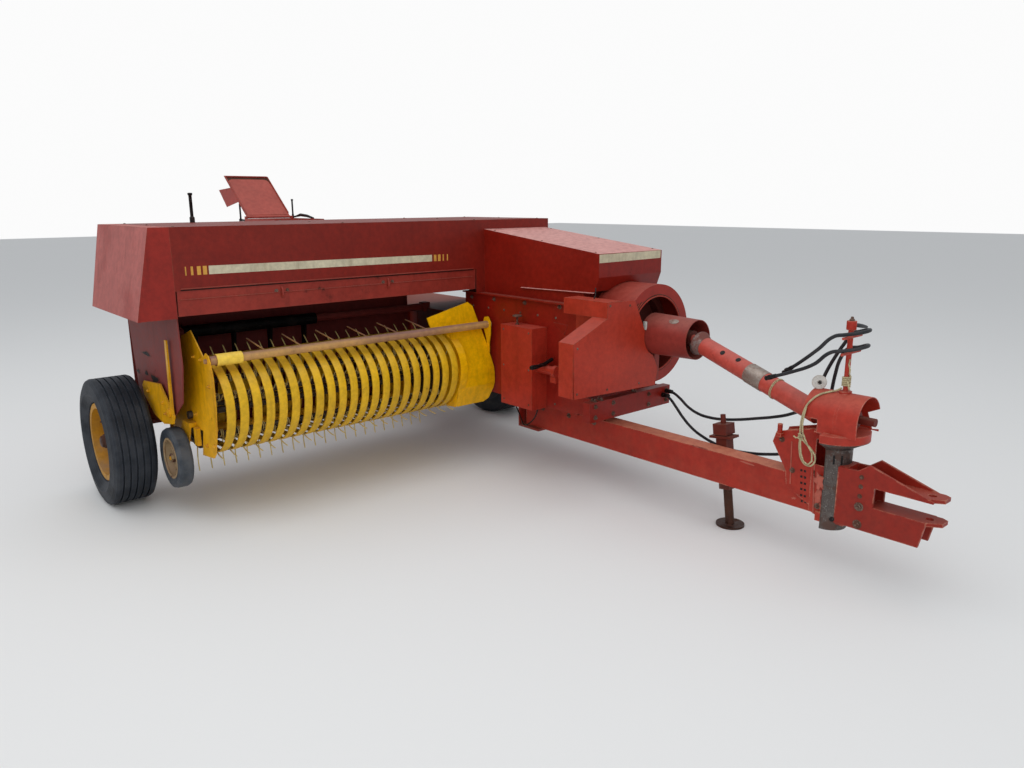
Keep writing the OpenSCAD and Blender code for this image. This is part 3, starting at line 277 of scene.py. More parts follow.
def makeWornRubber():
    t, given, out = newGroup("wornRubber", ["Rubber", "ChalkAndHighlight", "Earth"],
                             ["Chalking", "Mud", "RingX", "RingZ", "Rings", "Gloss"],
                             ["Color", "Roughness", "Height"])
    coords = t.nodes.new("ShaderNodeTexCoord").outputs
    place = coords["Object"]
    parts = put(t, "SeparateXYZ", {0: place}).outputs
    dx, dz = minus(t, parts[0], given["RingX"]), minus(t, parts[2], given["RingZ"])
    radius = calc(t, "SQRT", plus(t, times(t, dx, dx), times(t, dz, dz)))
    side = ease(t, calc(t, "ABSOLUTE", put(t, "SeparateXYZ", {0: coords["Normal"]}).outputs[1]), 0.5, 0.9)
    ring = times(t, calc(t, "SINE", times(t, radius, 520)), times(t, side, given["Rings"]))  # moulded rings
    fine = noise(t, place, 70, 4, 0.7)
    broad = noise(t, place, 7, 5, 0.6)
    # edges made paler: partly worn rubber, partly a painted highlight along the rib edges
    edge = times(t, ease(t, edgeTurn(t, 0.006), 0.01, 0.2), ease(t, fine, 0.3, 0.6, 0.4, 1.0))
    chalkAndHighlight = times(t, ease(t, broad, 0.35, 0.68, 0.2, 1.0), given["Chalking"])
    chalkAndHighlight = plus(t, chalkAndHighlight, times(t, edge, 0.55), True)
    color = mixColor(t, chalkAndHighlight, given["Rubber"], given["ChalkAndHighlight"])
    mud = times(t, ease(t, plus(t, broad, times(t, fine, 0.4)), 0.62, 0.86), given["Mud"])
    color = mixColor(t, mud, color, given["Earth"])
    rough = plus(t, given["Gloss"], times(t, minus(t, fine, 0.5), 0.3), True)
    deliver(t, out, Color=color, Roughness=rough, Height=plus(t, times(t, fine, 0.4), times(t, ring, 0.5)))
    return t


wornPaint = makeWornPaint()
wornMetal = makeWornMetal()
wornRubber = makeWornRubber()


def newMaterial(name, group, look, bump=0.35, depth=0.0015, **sockets):
    material = bpy.data.materials.new(name)
    material.use_nodes = True
    tree = material.node_tree
    shader = tree.nodes["Principled BSDF"]
    worn = tree.nodes.new("ShaderNodeGroup")
    worn.node_tree = group
    for key, value in look.items():
        worn.inputs[key].default_value = rgb(*value) if isinstance(value, tuple) else value
    tree.links.new(worn.outputs["Color"], shader.inputs["Base Color"])
    for key in ("Roughness", "Metallic"):
        if key in worn.outputs:
            tree.links.new(worn.outputs[key], shader.inputs[key])
    relief = put(tree, "Bump", {"Strength": bump, "Distance": depth, "Height": worn.outputs["Height"]})
    tree.links.new(relief.outputs[0], shader.inputs["Normal"])
    for key, value in sockets.items():
        shader.inputs[key.replace("_", " ")].default_value = value
    return material


# colours are sRGB levels; each row holds the values of the columns named above it
paintColumns = ("Paint", "Faded", "Fading", "Rusting", "EdgeWear", "TopDustAndSheen", "Streaks", "Mud", "Gloss")
redPaints = {
    "hoodRed": ((128, 22, 10), (140, 38, 25), 0.3, 0.08, 0.5, 0.82, 0.25, 0.0, 0.3),
    "shroudRed": ((120, 24, 13), (128, 38, 26), 0.4, 0.12, 0.5, 0.12, 0.25, 0.0, 0.36),
    "flapRed": ((138, 38, 27), (152, 62, 50), 0.5, 0.34, 0.6, 0.2, 0.35, 0.0, 0.42),
    "capRed": ((140, 28, 16), (176, 100, 94), 1.5, 0.1, 0.7, 0.15, 0.45, 0.0, 0.5),
    "housingRed": ((118, 38, 32), (132, 62, 58), 0.55, 0.22, 0.4, 0.1, 0.35, 0.15, 0.5),
    "caseRed": ((134, 22, 10), (146, 38, 26), 0.35, 0.14, 0.45, 0.2, 0.35, 0.3, 0.34),
    "shieldRed": ((166, 44, 25), (176, 64, 45), 0.4, 0.14, 0.65, 0.1, 0.25, 0.2, 0.34),
    "boxRed": ((166, 42, 26), (176, 60, 44), 0.4, 0.16, 0.75, 0.1, 0.25, 0.2, 0.34),
    "ringRed": ((146, 32, 20), (156, 50, 38), 0.35, 0.2, 0.7, 0.15, 0.2, 0.0, 0.36),
    "bellRed": ((132, 40, 32), (152, 66, 58), 0.5, 0.2, 0.7, 0.2, 0.3, 0.0, 0.4),
    "tubeRed": ((180, 62, 48), (190, 92, 82), 0.55, 0.22, 0.6, 0.1, 0.2, 0.0, 0.34),
    "coverRed": ((168, 42, 27), (176, 60, 44), 0.45, 0.24, 0.9, 0.3, 0.2, 0.0, 0.38),
    "scuffRed": ((180, 84, 68), (186, 112, 96), 0.6, 0.5, 0.5, 0.1, 0.4, 0.1, 0.5),
    "tongueRed": ((152, 31, 16), (168, 54, 37), 0.4, 0.24, 0.9, 0.85, 0.3, 0.1, 0.34),
    "hitchRed": ((138, 29, 16), (150, 45, 31), 0.35, 0.24, 0.9, 0.4, 0.3, 0.1, 0.4),
    "axleRed": ((100, 30, 20), (114, 48, 38), 0.5, 0.36, 0.6, 0.3, 0.3, 0.5, 0.5),
    "chamberRed": ((124, 30, 16), (140, 50, 36), 0.5, 0.34, 0.6, 0.3, 0.45, 0.2, 0.45),
    "jackRed": ((96, 28, 16), (104, 42, 30), 0.4, 0.42, 0.5, 0.15, 0.2, 0.25, 0.5),
    "twineRed": ((160, 54, 44), (172, 76, 66), 0.55, 0.16, 0.7, 0.15, 0.3, 0.0, 0.38),
    "iron": ((86, 22, 14), (86, 40, 32), 0.5, 0.5, 0.4, 0.3, 0.1, 0.0, 0.5),
}
yellowPaints = {
    "bandYellow": ((224, 176, 20), (216, 170, 44), 0.35, 0.26, 0.6, 0.08, 0.5, 0.2, 0.3),
    "frameYellow": ((226, 164, 4), (220, 162, 26), 0.35, 0.32, 0.75, 0.15, 0.5, 0.3, 0.34),
    "flareYellow": ((244, 182, 0), (236, 180, 12), 0.35, 0.18, 0.5, 0.1, 0.45, 0.2, 0.28),
    "tineYellow": ((226, 204, 124), (204, 184, 128), 0.6, 0.24, 0.2, 0.0, 0.2, 0.0, 0.35),
    "guardYellow": ((222, 172, 88), (142, 104, 92), 0.85, 0.35, 0.7, 0.1, 0.3, 0.0, 0.45),
    "sleeveYellow": ((250, 206, 60), (250, 214, 96), 0.5, 0.18, 0.5, 0.1, 0.3, 0.0, 0.35),
    "rimYellow": ((194, 138, 28), (182, 134, 46), 0.55, 0.4, 0.8, 0.2, 0.5, 0.45, 0.42),
    "creamRim": ((170, 148, 112), (158, 132, 98), 0.7, 0.5, 0.9, 0.3, 0.3, 0.5, 0.5),
    "plateWhite": ((206, 198, 172), (190, 178, 146), 0.5, 0.16, 0.2, 0.0, 0.5, 0.0, 0.4),
    "stripeYellow": ((206, 150, 60), (196, 146, 74), 0.5, 0.16, 0.2, 0.0, 0.4, 0.0, 0.4),
    "discWhite": ((206, 204, 198), (186, 184, 176), 0.4, 0.1, 0.3, 0.1, 0.2, 0.0, 0.25),
}
paintWear = {"Rust": (72, 34, 20), "DustAndSheen": (150, 128, 112), "FrontDarker": 0.0}
bareColors = {"red": (120, 74, 56), "yellow": (150, 86, 34)}
paintChanges = {  # paints whose dust, rubbed edges or front differ; the hood's pinkish top-face layer is a painted sky reflection
    "hoodRed": {"DustAndSheen": (222, 168, 160)},
    "capRed": {"FrontDarker": 0.95},
    "coverRed": {"DustAndSheen": (192, 120, 100), "Bare": (196, 140, 118)},
    "tongueRed": {"DustAndSheen": (196, 128, 100), "Bare": (206, 150, 124)},
    "hitchRed": {"DustAndSheen": (150, 84, 66), "Bare": (204, 146, 120)},
}
metalColumns = ("Metal", "Rust", "Grime", "Rusting", "Polish", "Scratches", "Shift")
metals = {
    "tineSteel": ((176, 148, 96), (104, 66, 34), (120, 92, 56), 0.45, 0.32, 0.3, 70),
    "bareSteel": ((120, 114, 106), (78, 48, 32), (66, 58, 52), 0.5, 0.4, 0.5, 72.1),
    "tubeGrey": ((96, 88, 84), (86, 60, 50), (62, 54, 52), 0.46, 0.42, 0.7, 74.2),
    "knotterSteel": ((92, 84, 76), (74, 46, 30), (44, 38, 34), 0.5, 0.45, 0.2, 76.3),
    "boltSteel": ((126, 104, 92), (92, 52, 36), (84, 60, 50), 0.55, 0.45, 0.2, 80.5),
    "guardGrey": ((132, 112, 106), (112, 58, 48), (96, 72, 68), 0.55, 0.45, 0.4, 82.6),
    "collarGrey": ((158, 144, 134), (130, 92, 78), (120, 104, 96), 0.42, 0.42, 0.7, 84.7),
    "darkRustAndShade": ((74, 46, 36), (80, 44, 28), (46, 30, 24), 0.6, 0.5, 0.2, 86.8),
    "darkIronAndShade": ((20, 18, 18), (30, 20, 17), (12, 11, 11), 0.4, 0.6, 0.05, 88.9),
    "blackSteelAndShade": ((36, 33, 33), (64, 44, 36), (22, 20, 20), 0.3, 0.42, 0.2, 91),
}
rubberColumns = ("Rubber", "ChalkAndHighlight", "Earth", "Chalking", "Mud", "RingX", "RingZ", "Rings", "Gloss")
rubbers = {
    "rightTyreRubber": ((14, 17, 23), (70, 79, 92), (76, 72, 68), 0.35, 0.18, 0, 0.344, 0.8, 0.62),
    "leftTyreRubber": ((15, 18, 24), (52, 58, 68), (76, 68, 60), 0.35, 0.28, -0.12, 0.394, 0.8, 0.62),
    "gaugeRubber": ((36, 42, 50), (88, 94, 102), (92, 90, 88), 0.6, 0.3, 0.45, 0.316, 0.3, 0.65),
    "hoseRubber": ((24, 26, 30), (62, 66, 72), (72, 66, 60), 0.35, 0.2, 0, 0, 0.0, 0.42),
}
finish = {}


def makePaints(paints, bare, firstShift, shiftStep, bump):
    for number, (name, row) in enumerate(paints.items()):
        look = {**paintWear, "Bare": bare, "Shift": firstShift + number * shiftStep,
                **dict(zip(paintColumns, row)), **paintChanges.get(name, {})}
        finish[name] = newMaterial(name, wornPaint, look, bump=bump, Specular_IOR_Level=0.28)


makePaints(redPaints, bareColors["red"], 0, 1.7, 0.3)
makePaints(yellowPaints, bareColors["yellow"], 40, 1.3, 0.25)
for name, row in metals.items():
    finish[name] = newMaterial(name, wornMetal, dict(zip(metalColumns, row)), bump=0.3, depth=0.0008)
for name, row in rubbers.items():
    look = dict(zip(rubberColumns, row))
    look["RingX"] += machineOffset[0]
    finish[name] = newMaterial(name, wornRubber, look, bump=0.4, depth=0.001, Specular_IOR_Level=0.3)


def makeRopeFinish():  # laid strands: thin bands across the cord
    material = bpy.data.materials.new("twineRope")
    material.use_nodes = True
    t = material.node_tree
    shader = t.nodes["Principled BSDF"]
    place = t.nodes.new("ShaderNodeTexCoord").outputs["Object"]
    turned = put(t, "Mapping", {"Vector": place, "Rotation": (0.7, 0.4, 0.6)}).outputs[0]
    bands = put(t, "TexWave", {"Vector": turned, "Scale": 95.0, "Distortion": 2.5, "Detail": 1.0}).outputs["Fac"]
    dirt = noise(t, place, 26, 4, 0.6)
    color = mixColor(t, ease(t, bands, 0.2, 0.8), rgb(150, 136, 100), rgb(208, 196, 156))
    color = mixColor(t, ease(t, dirt, 0.45, 0.7, 0.0, 0.7), color, rgb(120, 104, 80))
    relief = put(t, "Bump", {"Strength": 0.6, "Distance": 0.001, "Height": bands})
    t.links.new(color, shader.inputs["Base Color"])
    t.links.new(ease(t, dirt, 0.3, 0.7, 0.75, 0.95), shader.inputs["Roughness"])
    t.links.new(relief.outputs[0], shader.inputs["Normal"])
    return material


finish["twineRope"] = makeRopeFinish()

nodeFinishes = {  # every CAD node gets one finish
    "chamberRed": "bale_chamber tension_rails", "caseRed": "plunger_case latch_rail", "hoodRed": "hood",
    "iron": "gearbox flywheel", "housingRed": "feeder_housing", "shroudRed": "shroud", "flapRed": "flap",
    "capRed": "end_cap", "axleRed": "axle axle_ends drive_stub needle_yoke", "rightTyreRubber": "right_tyre",
    "leftTyreRubber": "left_tyre", "rimYellow": "right_rim left_rim", "frameYellow": "pickup_frame",
    "bandYellow": "stripper_bands", "flareYellow": "pickup_flare", "tineSteel": "reel", "gaugeRubber": "gauge_tyre",
    "creamRim": "gauge_rim", "guardYellow": "wind_guard", "ringRed": "flywheel_shield", "shieldRed": "front_shield",
    "boxRed": "side_box", "bellRed": "drive_bell", "tubeRed": "drive_tube", "coverRed": "drive_cover hose_post",
    "tongueRed": "tongue", "hitchRed": "hitch_clevis", "jackRed": "jack_tube", "darkRustAndShade": "jack_leg",
    "twineRed": "twine_box twine_lid", "knotterSteel": "knotter", "bareSteel": "star_wheel",
    "darkIronAndShade": "feeder_carriage", "hoseRubber": "hose_lift hose_tension", "twineRope": "trip_rope",
}
for name, nodes in nodeFinishes.items():
    for node in nodes.split():
        solid = bpy.data.objects[node]
        if not solid.material_slots:
            solid.data.materials.append(finish[name])
        for slot in solid.material_slots:
            slot.material = finish[name]
for cord, name in ((liftHose, "hoseRubber"), (tensionHose, "hoseRubber"), (tripRope, "twineRope")):
    cord.data.materials.append(finish[name])
print("finishes made:", len(finish))

# ---- mesh tools ----
toFront, toRight, toTop = Vector((1, 0, 0)), Vector((0, -1, 0)), Vector((0, 0, 1))


def newMeshes(count):
    return [bmesh.new() for _ in range(count)]


def spots(*places):
    return [spot(*place) for place in places]


def spokeOut(angle):  # a direction in a wheel's plane
    return Vector((math.cos(angle), 0, math.sin(angle)))


def levelOut(degrees, radius=1.0):  # a level step at an angle from straight ahead
    return Vector((math.cos(math.radians(degrees)), math.sin(math.radians(degrees)), 0)) * radius


def sideways(direction):
    return direction.cross(toTop if abs(direction.z) < 0.9 else toFront).normalized()


def addCircle(mesh, centre, side, over, radius, sides, turn=0.0):
    if radius == 0:
        return [mesh.verts.new(centre)]
    angles = [2 * math.pi * k / sides + turn for k in range(sides)]
    return [mesh.verts.new(centre + (side * math.cos(a) + over * math.sin(a)) * radius) for a in angles]


def joinRings(mesh, rings, closed=True):  # a ring may be a single point
    for low, high in zip(rings[:-1], rings[1:]):
        count = max(len(low), len(high))
        for k in range(count if closed else count - 1):
            n = (k + 1) % count
            corners = (low[k % len(low)], low[n % len(low)], high[n % len(high)], high[k % len(high)])
            mesh.faces.new(list(dict.fromkeys(corners)))


def closeEnds(mesh, rings):
    for ring in (rings[0][::-1], rings[-1]):
        if len(ring) > 1:
            mesh.faces.new(ring)


def addTube(mesh, points, radius, sides=8):  # a round bar swept along points, ends closed
    radii = radius if isinstance(radius, list) else [radius] * len(points)
    rings, side = [], None
    for i, point in enumerate(points):
        along = (points[min(i + 1, len(points) - 1)] - points[max(i - 1, 0)]).normalized()
        side = sideways(along) if side is None else (side - along * side.dot(along)).normalized()
        rings.append(addCircle(mesh, point, side, along.cross(side), radii[i], sides))
    joinRings(mesh, rings)
    closeEnds(mesh, rings)


def turnedRings(mesh, profile, origin, axis, sides, turn=0.0):  # profile: (distance along the axis, radius)
    axis = axis.normalized()
    side = sideways(axis)
    return [addCircle(mesh, origin + axis * along, side, axis.cross(side), radius, sides, turn)
            for along, radius in profile]


def addTurned(mesh, profile, origin, axis, sides=24, turn=0.0):
    rings = turnedRings(mesh, profile, origin, axis, sides, turn)
    joinRings(mesh, rings)
    closeEnds(mesh, rings)


def addRing(mesh, profile, origin, axis, sides=32):  # closed profile, open in the middle
    rings = turnedRings(mesh, profile, origin, axis, sides)
    joinRings(mesh, rings + rings[:1])


def addPlate(mesh, outline, thickness):  # outline: points in order; the plate grows along its own normal
    low = [mesh.verts.new(p) for p in outline]
    face = mesh.faces.new(low)
    face.normal_update()
    push = face.normal * thickness
    high = [mesh.verts.new(p + push) for p in outline]
    face.normal_flip()
    mesh.faces.new(high)
    joinRings(mesh, [low, high])


def addBolt(mesh, place, normal, size=0.008, nut=False):  # size: half the width over the corners
    washer, tall = 0.0016, size * 0.75
    addTurned(mesh, [(-0.0004, size * 1.5), (0.0012, size * 1.5), (washer, size * 1.42)], place, normal, 16)
    addTurned(mesh, [(washer - 0.0004, size), (washer + tall * 0.8, size), (washer + tall, size * 0.84)],
              place, normal, 6, turn=(place.x * 37 + place.z * 51) % 1)
    if nut:
        end = [(washer, size * 0.55), (washer + tall * 1.8, size * 0.55), (washer + tall * 2, size * 0.45)]
        addTurned(mesh, end, place, normal, 12)


def addDome(mesh, place, normal, size=0.009):  # carriage bolt or rivet head
    profile = ((-0.0004, 1), (size * 0.12, 1), (size * 0.34, 0.82), (size * 0.5, 0.45), (size * 0.55, 0))
    addTurned(mesh, [(along, size * part) for along, part in profile], place, normal, 14)


def linkMesh(name, mesh):
    data = bpy.data.meshes.new(name)
    mesh.to_mesh(data)
    mesh.free()
    piece = bpy.data.objects.new(name, data)
    bpy.context.scene.collection.objects.link(piece)
    return piece


def makePiece(name, mesh, material, body, bevel=0.0, smooth=35, solid=0.0):
    bmesh.ops.recalc_face_normals(mesh, faces=mesh.faces)
    piece = linkMesh(name, mesh)
    piece.data.materials.append(finish[material])
    piece.data.shade_smooth()
    piece.data.set_sharp_from_angle(angle=math.radians(smooth))
    if solid:
        wall = piece.modifiers.new("wall", "SOLIDIFY")
        wall.thickness = solid
        wall.offset = -1
    if bevel:
        soft = piece.modifiers.new("soft edges", "BEVEL")
        soft.width = bevel
        soft.segments = 2
        soft.limit_method = "ANGLE"
    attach(piece, body)
    return piece


def makePieces(body, *rows):
    for name, mesh, material, slot in rows:
        makePiece(name, mesh, material, body)


def seat(node, start, direction):  # where a line from start first meets a CAD solid, and that face's normal
    hit, place, normal, _ = bpy.data.objects[node].ray_cast(start, direction)
    if not hit:
        print("no seat on", node, tuple(round(v, 3) for v in start))
        return start, -direction
    return place, normal


def seatBolts(mesh, node, places, direction, size=0.008, kind="bolt"):
    for start in spots(*places):
        place, normal = seat(node, start, direction)
        if kind == "dome":
            addDome(mesh, place, normal, size)
        else:
            addBolt(mesh, place, normal, size, nut=kind == "nut")


def seatGrid(mesh, node, xs, ys, zs, direction, size, kind="bolt"):
    seatBolts(mesh, node, [(x, y, z) for x in xs for y in ys for z in zs], direction, size, kind)


def addRagged(mesh, node, x, z, size, ripples, sides, turn=0.0, off=0.0002, thick=0.0004):
    place, _ = seat(node, spot(x, -2.6, z), -toRight)  # a flat patch with an uneven rim, on the right-hand side
    rim = []
    for k in range(sides):
        a = 2 * math.pi * k / sides
        ragged = 1 + sum(depth * math.sin(lobes * a + phase) for depth, lobes, phase in ripples)
        flat = Matrix.Rotation(-turn, 3, "Y") @ Vector((size[0] * math.cos(a), 0, size[1] * math.sin(a))) * ragged
        rim.append(place + flat + toRight * off)
    addPlate(mesh, rim, thick)


# ---- pickup reel: spring tines coiled on five bars ----
reel = {
    "x": 0.505, "z": 0.542, "barCircle": 0.16, "barRadius": 0.014, "tip": 0.347, "wire": 0.0033,
    "coil": 0.019, "coilSteps": 24, "coilTurn": 630, "firstTine": -2.002, "pitch": 0.0673, "tines": 22,
    "bars": 5, "start": 34, "bend": 0.034, "axleEnd": -2.058,
    "axle": [(0, 0.02), (0.03, 0.02), (0.032, 0.018), (1.4613, 0.018), (1.4633, 0.02), (1.4953, 0.02)],
    "spider": [(0, 0.045), (0, 0.15), (-0.003, 0.153), (-0.003, 0.18), (0.002, 0.18), (0.002, 0.156),
               (0.005, 0.15), (0.005, 0.045)],
    "boss": [(-0.012, 0.042), (-0.01, 0.046), (0.015, 0.046), (0.017, 0.042)]}


def tineLine(hub, out, trail, way):  # from the bar's clamp through the coil to the bent tip
    radius, steps = reel["coil"], reel["coilSteps"]
    line = [hub + out * radius - toRight * way * step for step in (0.0335, 0.024)]
    for k in range(steps + 1):  # one and three quarter turns, ending on the trailing side
        a = math.radians(reel["coilTurn"] * k / steps)
        swing = (out * math.cos(a) + trail * math.sin(a)) * radius
        line.append(hub + swing - toRight * way * 0.016 * (1 - k / steps))
    reach = reel["tip"] - reel["barCircle"] - 0.004
    for k in (0.18, 0.4, 0.62, 0.78, 0.88, 0.95, 1.0):
        lean = reel["bend"] * max(0, (k - 0.45) / 0.55) ** 2 + radius * 0.3 * k
        line.append(hub - trail * radius + out * reach * k + trail * lean)
    return line


def makeReel():
    bars, wires = newMeshes(2)
    y0, y1 = reel["firstTine"], reel["firstTine"] + reel["pitch"] * (reel["tines"] - 1)
    addTurned(bars, reel["axle"], spot(reel["x"], reel["axleEnd"], reel["z"]), -toRight, 24)
    for y in (y0 - 0.02, y1 - 0.002):
        addRing(bars, reel["spider"], spot(reel["x"], y, reel["z"]), -toRight, 40)
        addTurned(bars, reel["boss"], spot(reel["x"], y, reel["z"]), -toRight, 24)
    for b in range(reel["bars"]):
        a = -math.radians(reel["start"] + b * 360 / reel["bars"])
        out, trail = spokeOut(a), spokeOut(a + math.pi / 2)
        first = spot(reel["x"], y0, reel["z"]) + out * reel["barCircle"]
        bar = [(0, reel["barRadius"]), (y1 - y0 + 0.023, reel["barRadius"])]
        addTurned(bars, bar, first + toRight * 0.02, -toRight, 14)
        for t in range(reel["tines"]):
            hub = first - toRight * t * reel["pitch"]
            line = tineLine(hub, out, trail, -1 if t % 2 else 1)
            addTube(wires, line, [reel["wire"]] * (len(line) - 1) + [reel["wire"] * 0.7], 6)
            if t % 2 == 0:  # clamp bolt between two coils
                addBolt(bars, hub + out * (reel["barRadius"] + 0.001) - toRight * reel["pitch"] / 2, out, 0.009)
    makePiece("reel_bars", bars, "knotterSteel", "reel")
    tines = makePiece("reel_tines", wires, "tineYellow", "reel", smooth=60)
    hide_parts("reel")


makeReel()
print("reel made")

# ---- stripper bands: crowned strips, one in each gap between tines ----
bands = {
    "x": 0.6, "z": 0.625, "rise": 0.22, "reach": 0.27, "width": 0.046, "crown": 0.0055, "wall": 0.0022,
    "crossX": 0.177, "crossZ": 0.354, "wrap": 0.0273, "wobble": 0.0012,
    "back": [(0.465, 0.829), (0.4, 0.814), (0.345, 0.79), (0.3, 0.762), (0.262, 0.727), (0.232, 0.69),
             (0.2045, 0.58), (0.177, 0.47), (0.1497, 0.36)],
    "under": [(0.277, 0.3341), (0.377, 0.3414), (0.477, 0.3487), (0.545, 0.354)],
    "section": [(-0.5, 1.0), (-0.47, 0.42), (-0.32, 0.12), (0.0, 0.0), (0.32, 0.12), (0.47, 0.42), (0.5, 1.0)]}


def arc(x, z, wide, high, degrees):
    return [(x + wide * math.cos(math.radians(a)), z + high * math.sin(math.radians(a))) for a in degrees]


def makeBands():
    mesh = bmesh.new()
    line = arc(bands["x"], bands["z"], bands["reach"], bands["reach"], range(-95, 1, 4))
    line += arc(bands["x"], bands["z"], bands["reach"], bands["rise"], range(1, 106, 4)) + bands["back"]
    line += arc(bands["crossX"], bands["crossZ"], bands["wrap"], bands["wrap"], range(190, 271, 20))
    line += bands["under"]
    random.seed(4)
    for i in range(reel["tines"] - 1):
        y = reel["firstTine"] + (i + 0.5) * reel["pitch"] + random.uniform(-bands["wobble"], bands["wobble"])
        rings = []
        for k, (x, z) in enumerate(line):
            along = (Vector(line[(k + 1) % len(line)]) - Vector(line[k - 1])).normalized() * bands["crown"]
            rings.append([mesh.verts.new(spot(x - along.y * drop, y + across * bands["width"], z + along.x * drop))
                          for across, drop in bands["section"]])
        joinRings(mesh, rings + rings[:1], closed=False)
    piece = makePiece("crowned_bands", mesh, "bandYellow", "pickup", solid=bands["wall"], smooth=50)
    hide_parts("stripper_bands")


makeBands()
print("bands made")

# ---- wheels: gauge wheel with spokes, hubs, wheel nuts, valves ----
wheels = {
    "gauge": (0.45, -2.118, 0.316), "gaugeBead": 0.1074, "spokes": 6, "firstSpoke": 18,
    "right": (0.0, -2.282, 0.344), "left": (-0.12, 0.5115, 0.394),
    "nuts": 5, "nutCircle": 0.062, "probe": 0.3, "capAt": 0.035, "valveAngle": 2.6, "valveCircle": 0.15,
    "cap": [(-0.002, 0.045), (0.004, 0.045), (0.006, 0.041), (0.03, 0.038), (0.034, 0.034), (0.044, 0.03),
            (0.048, 0.022), (0.0495, 0)],
    "valve": [(-0.002, 0.0055), (0.012, 0.005), (0.013, 0.0038), (0.03, 0.0038), (0.031, 0.0045),
              (0.04, 0.0045), (0.041, 0.003)],
    "gaugeHub": [(-0.03, 0.0102), (-0.03, 0.022), (-0.027, 0.024), (-0.012, 0.024), (-0.01, 0.034),
                 (0.01, 0.034), (0.012, 0.024), (0.027, 0.024), (0.03, 0.022), (0.03, 0.0102)]}


def makeGaugeWheel():
    mesh = bmesh.new()
    centre = spot(*wheels["gauge"])
    bead = wheels["gaugeBead"]
    rim = [(-0.034, 0), (-0.034, 0.01), (-0.029, 0.012), (-0.024, 0.006), (0.024, 0.006), (0.029, 0.012),
           (0.034, 0.01), (0.034, 0)]
    addRing(mesh, [(across, bead - drop) for across, drop in rim], centre, -toRight, 44)
    addRing(mesh, wheels["gaugeHub"], centre, -toRight, 28)
    for s in range(wheels["spokes"]):
        a = math.radians(wheels["firstSpoke"] + s * 360 / wheels["spokes"])
        out, side = spokeOut(a), spokeOut(a + math.pi / 2)
        root, end = centre + out * 0.03, centre + out * (bead - 0.007)
        outline = [root + side * 0.01, end + side * 0.017, end - side * 0.017, root - side * 0.01]
        # each spoke is a pressed rib, wider at the rim, with a round bead on it
        addPlate(mesh, [p + toRight * 0.001 for p in outline], 0.003)
        addPlate(mesh, [p - toRight * 0.001 for p in outline[::-1]], 0.003)
        addTube(mesh, [root + toRight * 0.004 - out * 0.002, end + toRight * 0.006 - out * 0.001], 0.006)
    piece = makePiece("gauge_spokes", mesh, "creamRim", "gauge_wheel", bevel=0.0008)
    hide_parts("gauge_rim")


def makeWheelFittings(body, centre, outward, rimNode):
    nuts, cap = newMeshes(2)
    middle = spot(*centre)

    def onRim(step):
        return seat(rimNode, middle + step + outward * wheels["probe"], -outward)[0]

    for k in range(wheels["nuts"]):
        place = onRim(spokeOut(math.radians(90 + k * 360 / wheels["nuts"])) * wheels["nutCircle"])
        addBolt(nuts, place, outward, 0.011, nut=True)
    face = (onRim(toTop * wheels["capAt"]) - middle).dot(outward)
    addTurned(cap, wheels["cap"], middle + outward * face, outward, 28)
    addTurned(nuts, wheels["valve"], onRim(spokeOut(wheels["valveAngle"]) * wheels["valveCircle"]), outward, 12)
    makePiece(body + "_nuts", nuts, "boltSteel", body)
    makePiece(body + "_hub_cap", cap, "darkRustAndShade", body)


makeGaugeWheel()
makeWheelFittings("right_wheel", wheels["right"], toRight, "right_rim")
makeWheelFittings("left_wheel", wheels["left"], -toRight, "left_rim")
print("wheels made")

# ---- stripes, seams and plates on the shroud and hood ----
stripe = {
    "shroudX": 0.701, "from": (-1.954, 1.2655, 1.3065), "to": (-0.6505, 1.2595, 1.2975), "thick": 0.0005,
    "bars": ((-2.066, -2.06), (-2.039, -2.028), (-2.01, -1.992), (-1.982, -1.963),
             (-0.637, -0.619), (-0.608, -0.589), (-0.574, -0.565), (-0.543, -0.535)),
    "hood": ((-0.2565, 1.28), (0.2475, 1.284), (0.2475, 1.3265), (-0.2565, 1.3245))}


def makeStripes():
    white, yellow = newMeshes(2)
    (yA, lowA, highA), (yB, lowB, highB) = stripe["from"], stripe["to"]
    for mesh, ends in [(white, (yA, yB))] + [(yellow, ends) for ends in stripe["bars"]]:
        low, high = [[(y, a + (b - a) * (y - yA) / (yB - yA)) for y in ends]
                     for a, b in ((lowA, lowB), (highA, highB))]
        addPlate(mesh, [spot(stripe["shroudX"], y, z) for y, z in low + high[::-1]], stripe["thick"])
    front = seat("hood", spot(1.9, 0, 1.3), -toFront)[0].x - machineOffset.x
    addPlate(white, [spot(front, y, z) for y, z in stripe["hood"]], stripe["thick"])
    makePieces("base", ("white_stripes", white, "plateWhite", "shroud_paint"),
        ("yellow_bars", yellow, "stripeYellow", "shroud_paint"))


shroudTrim = {
    "hinges": (-1.589, -0.955), "flapEnds": (-2.1, -0.345), "panelEnds": (-2.095, -0.345),
    "holes": ((0.125, 0.816, 0.058, 0.01), (-0.064, 0.69, 0.026, 0.01),  # x, z, half width, half height
              (0.09, 0.704, 0.026, 0.012), (0.225, 0.694, 0.06, 0.018)),
    "lip": ((1.05, 0.001, 1.108), (1.64, 0.001, 1.122), (1.64, -0.012, 1.119), (1.05, -0.012, 1.105))}


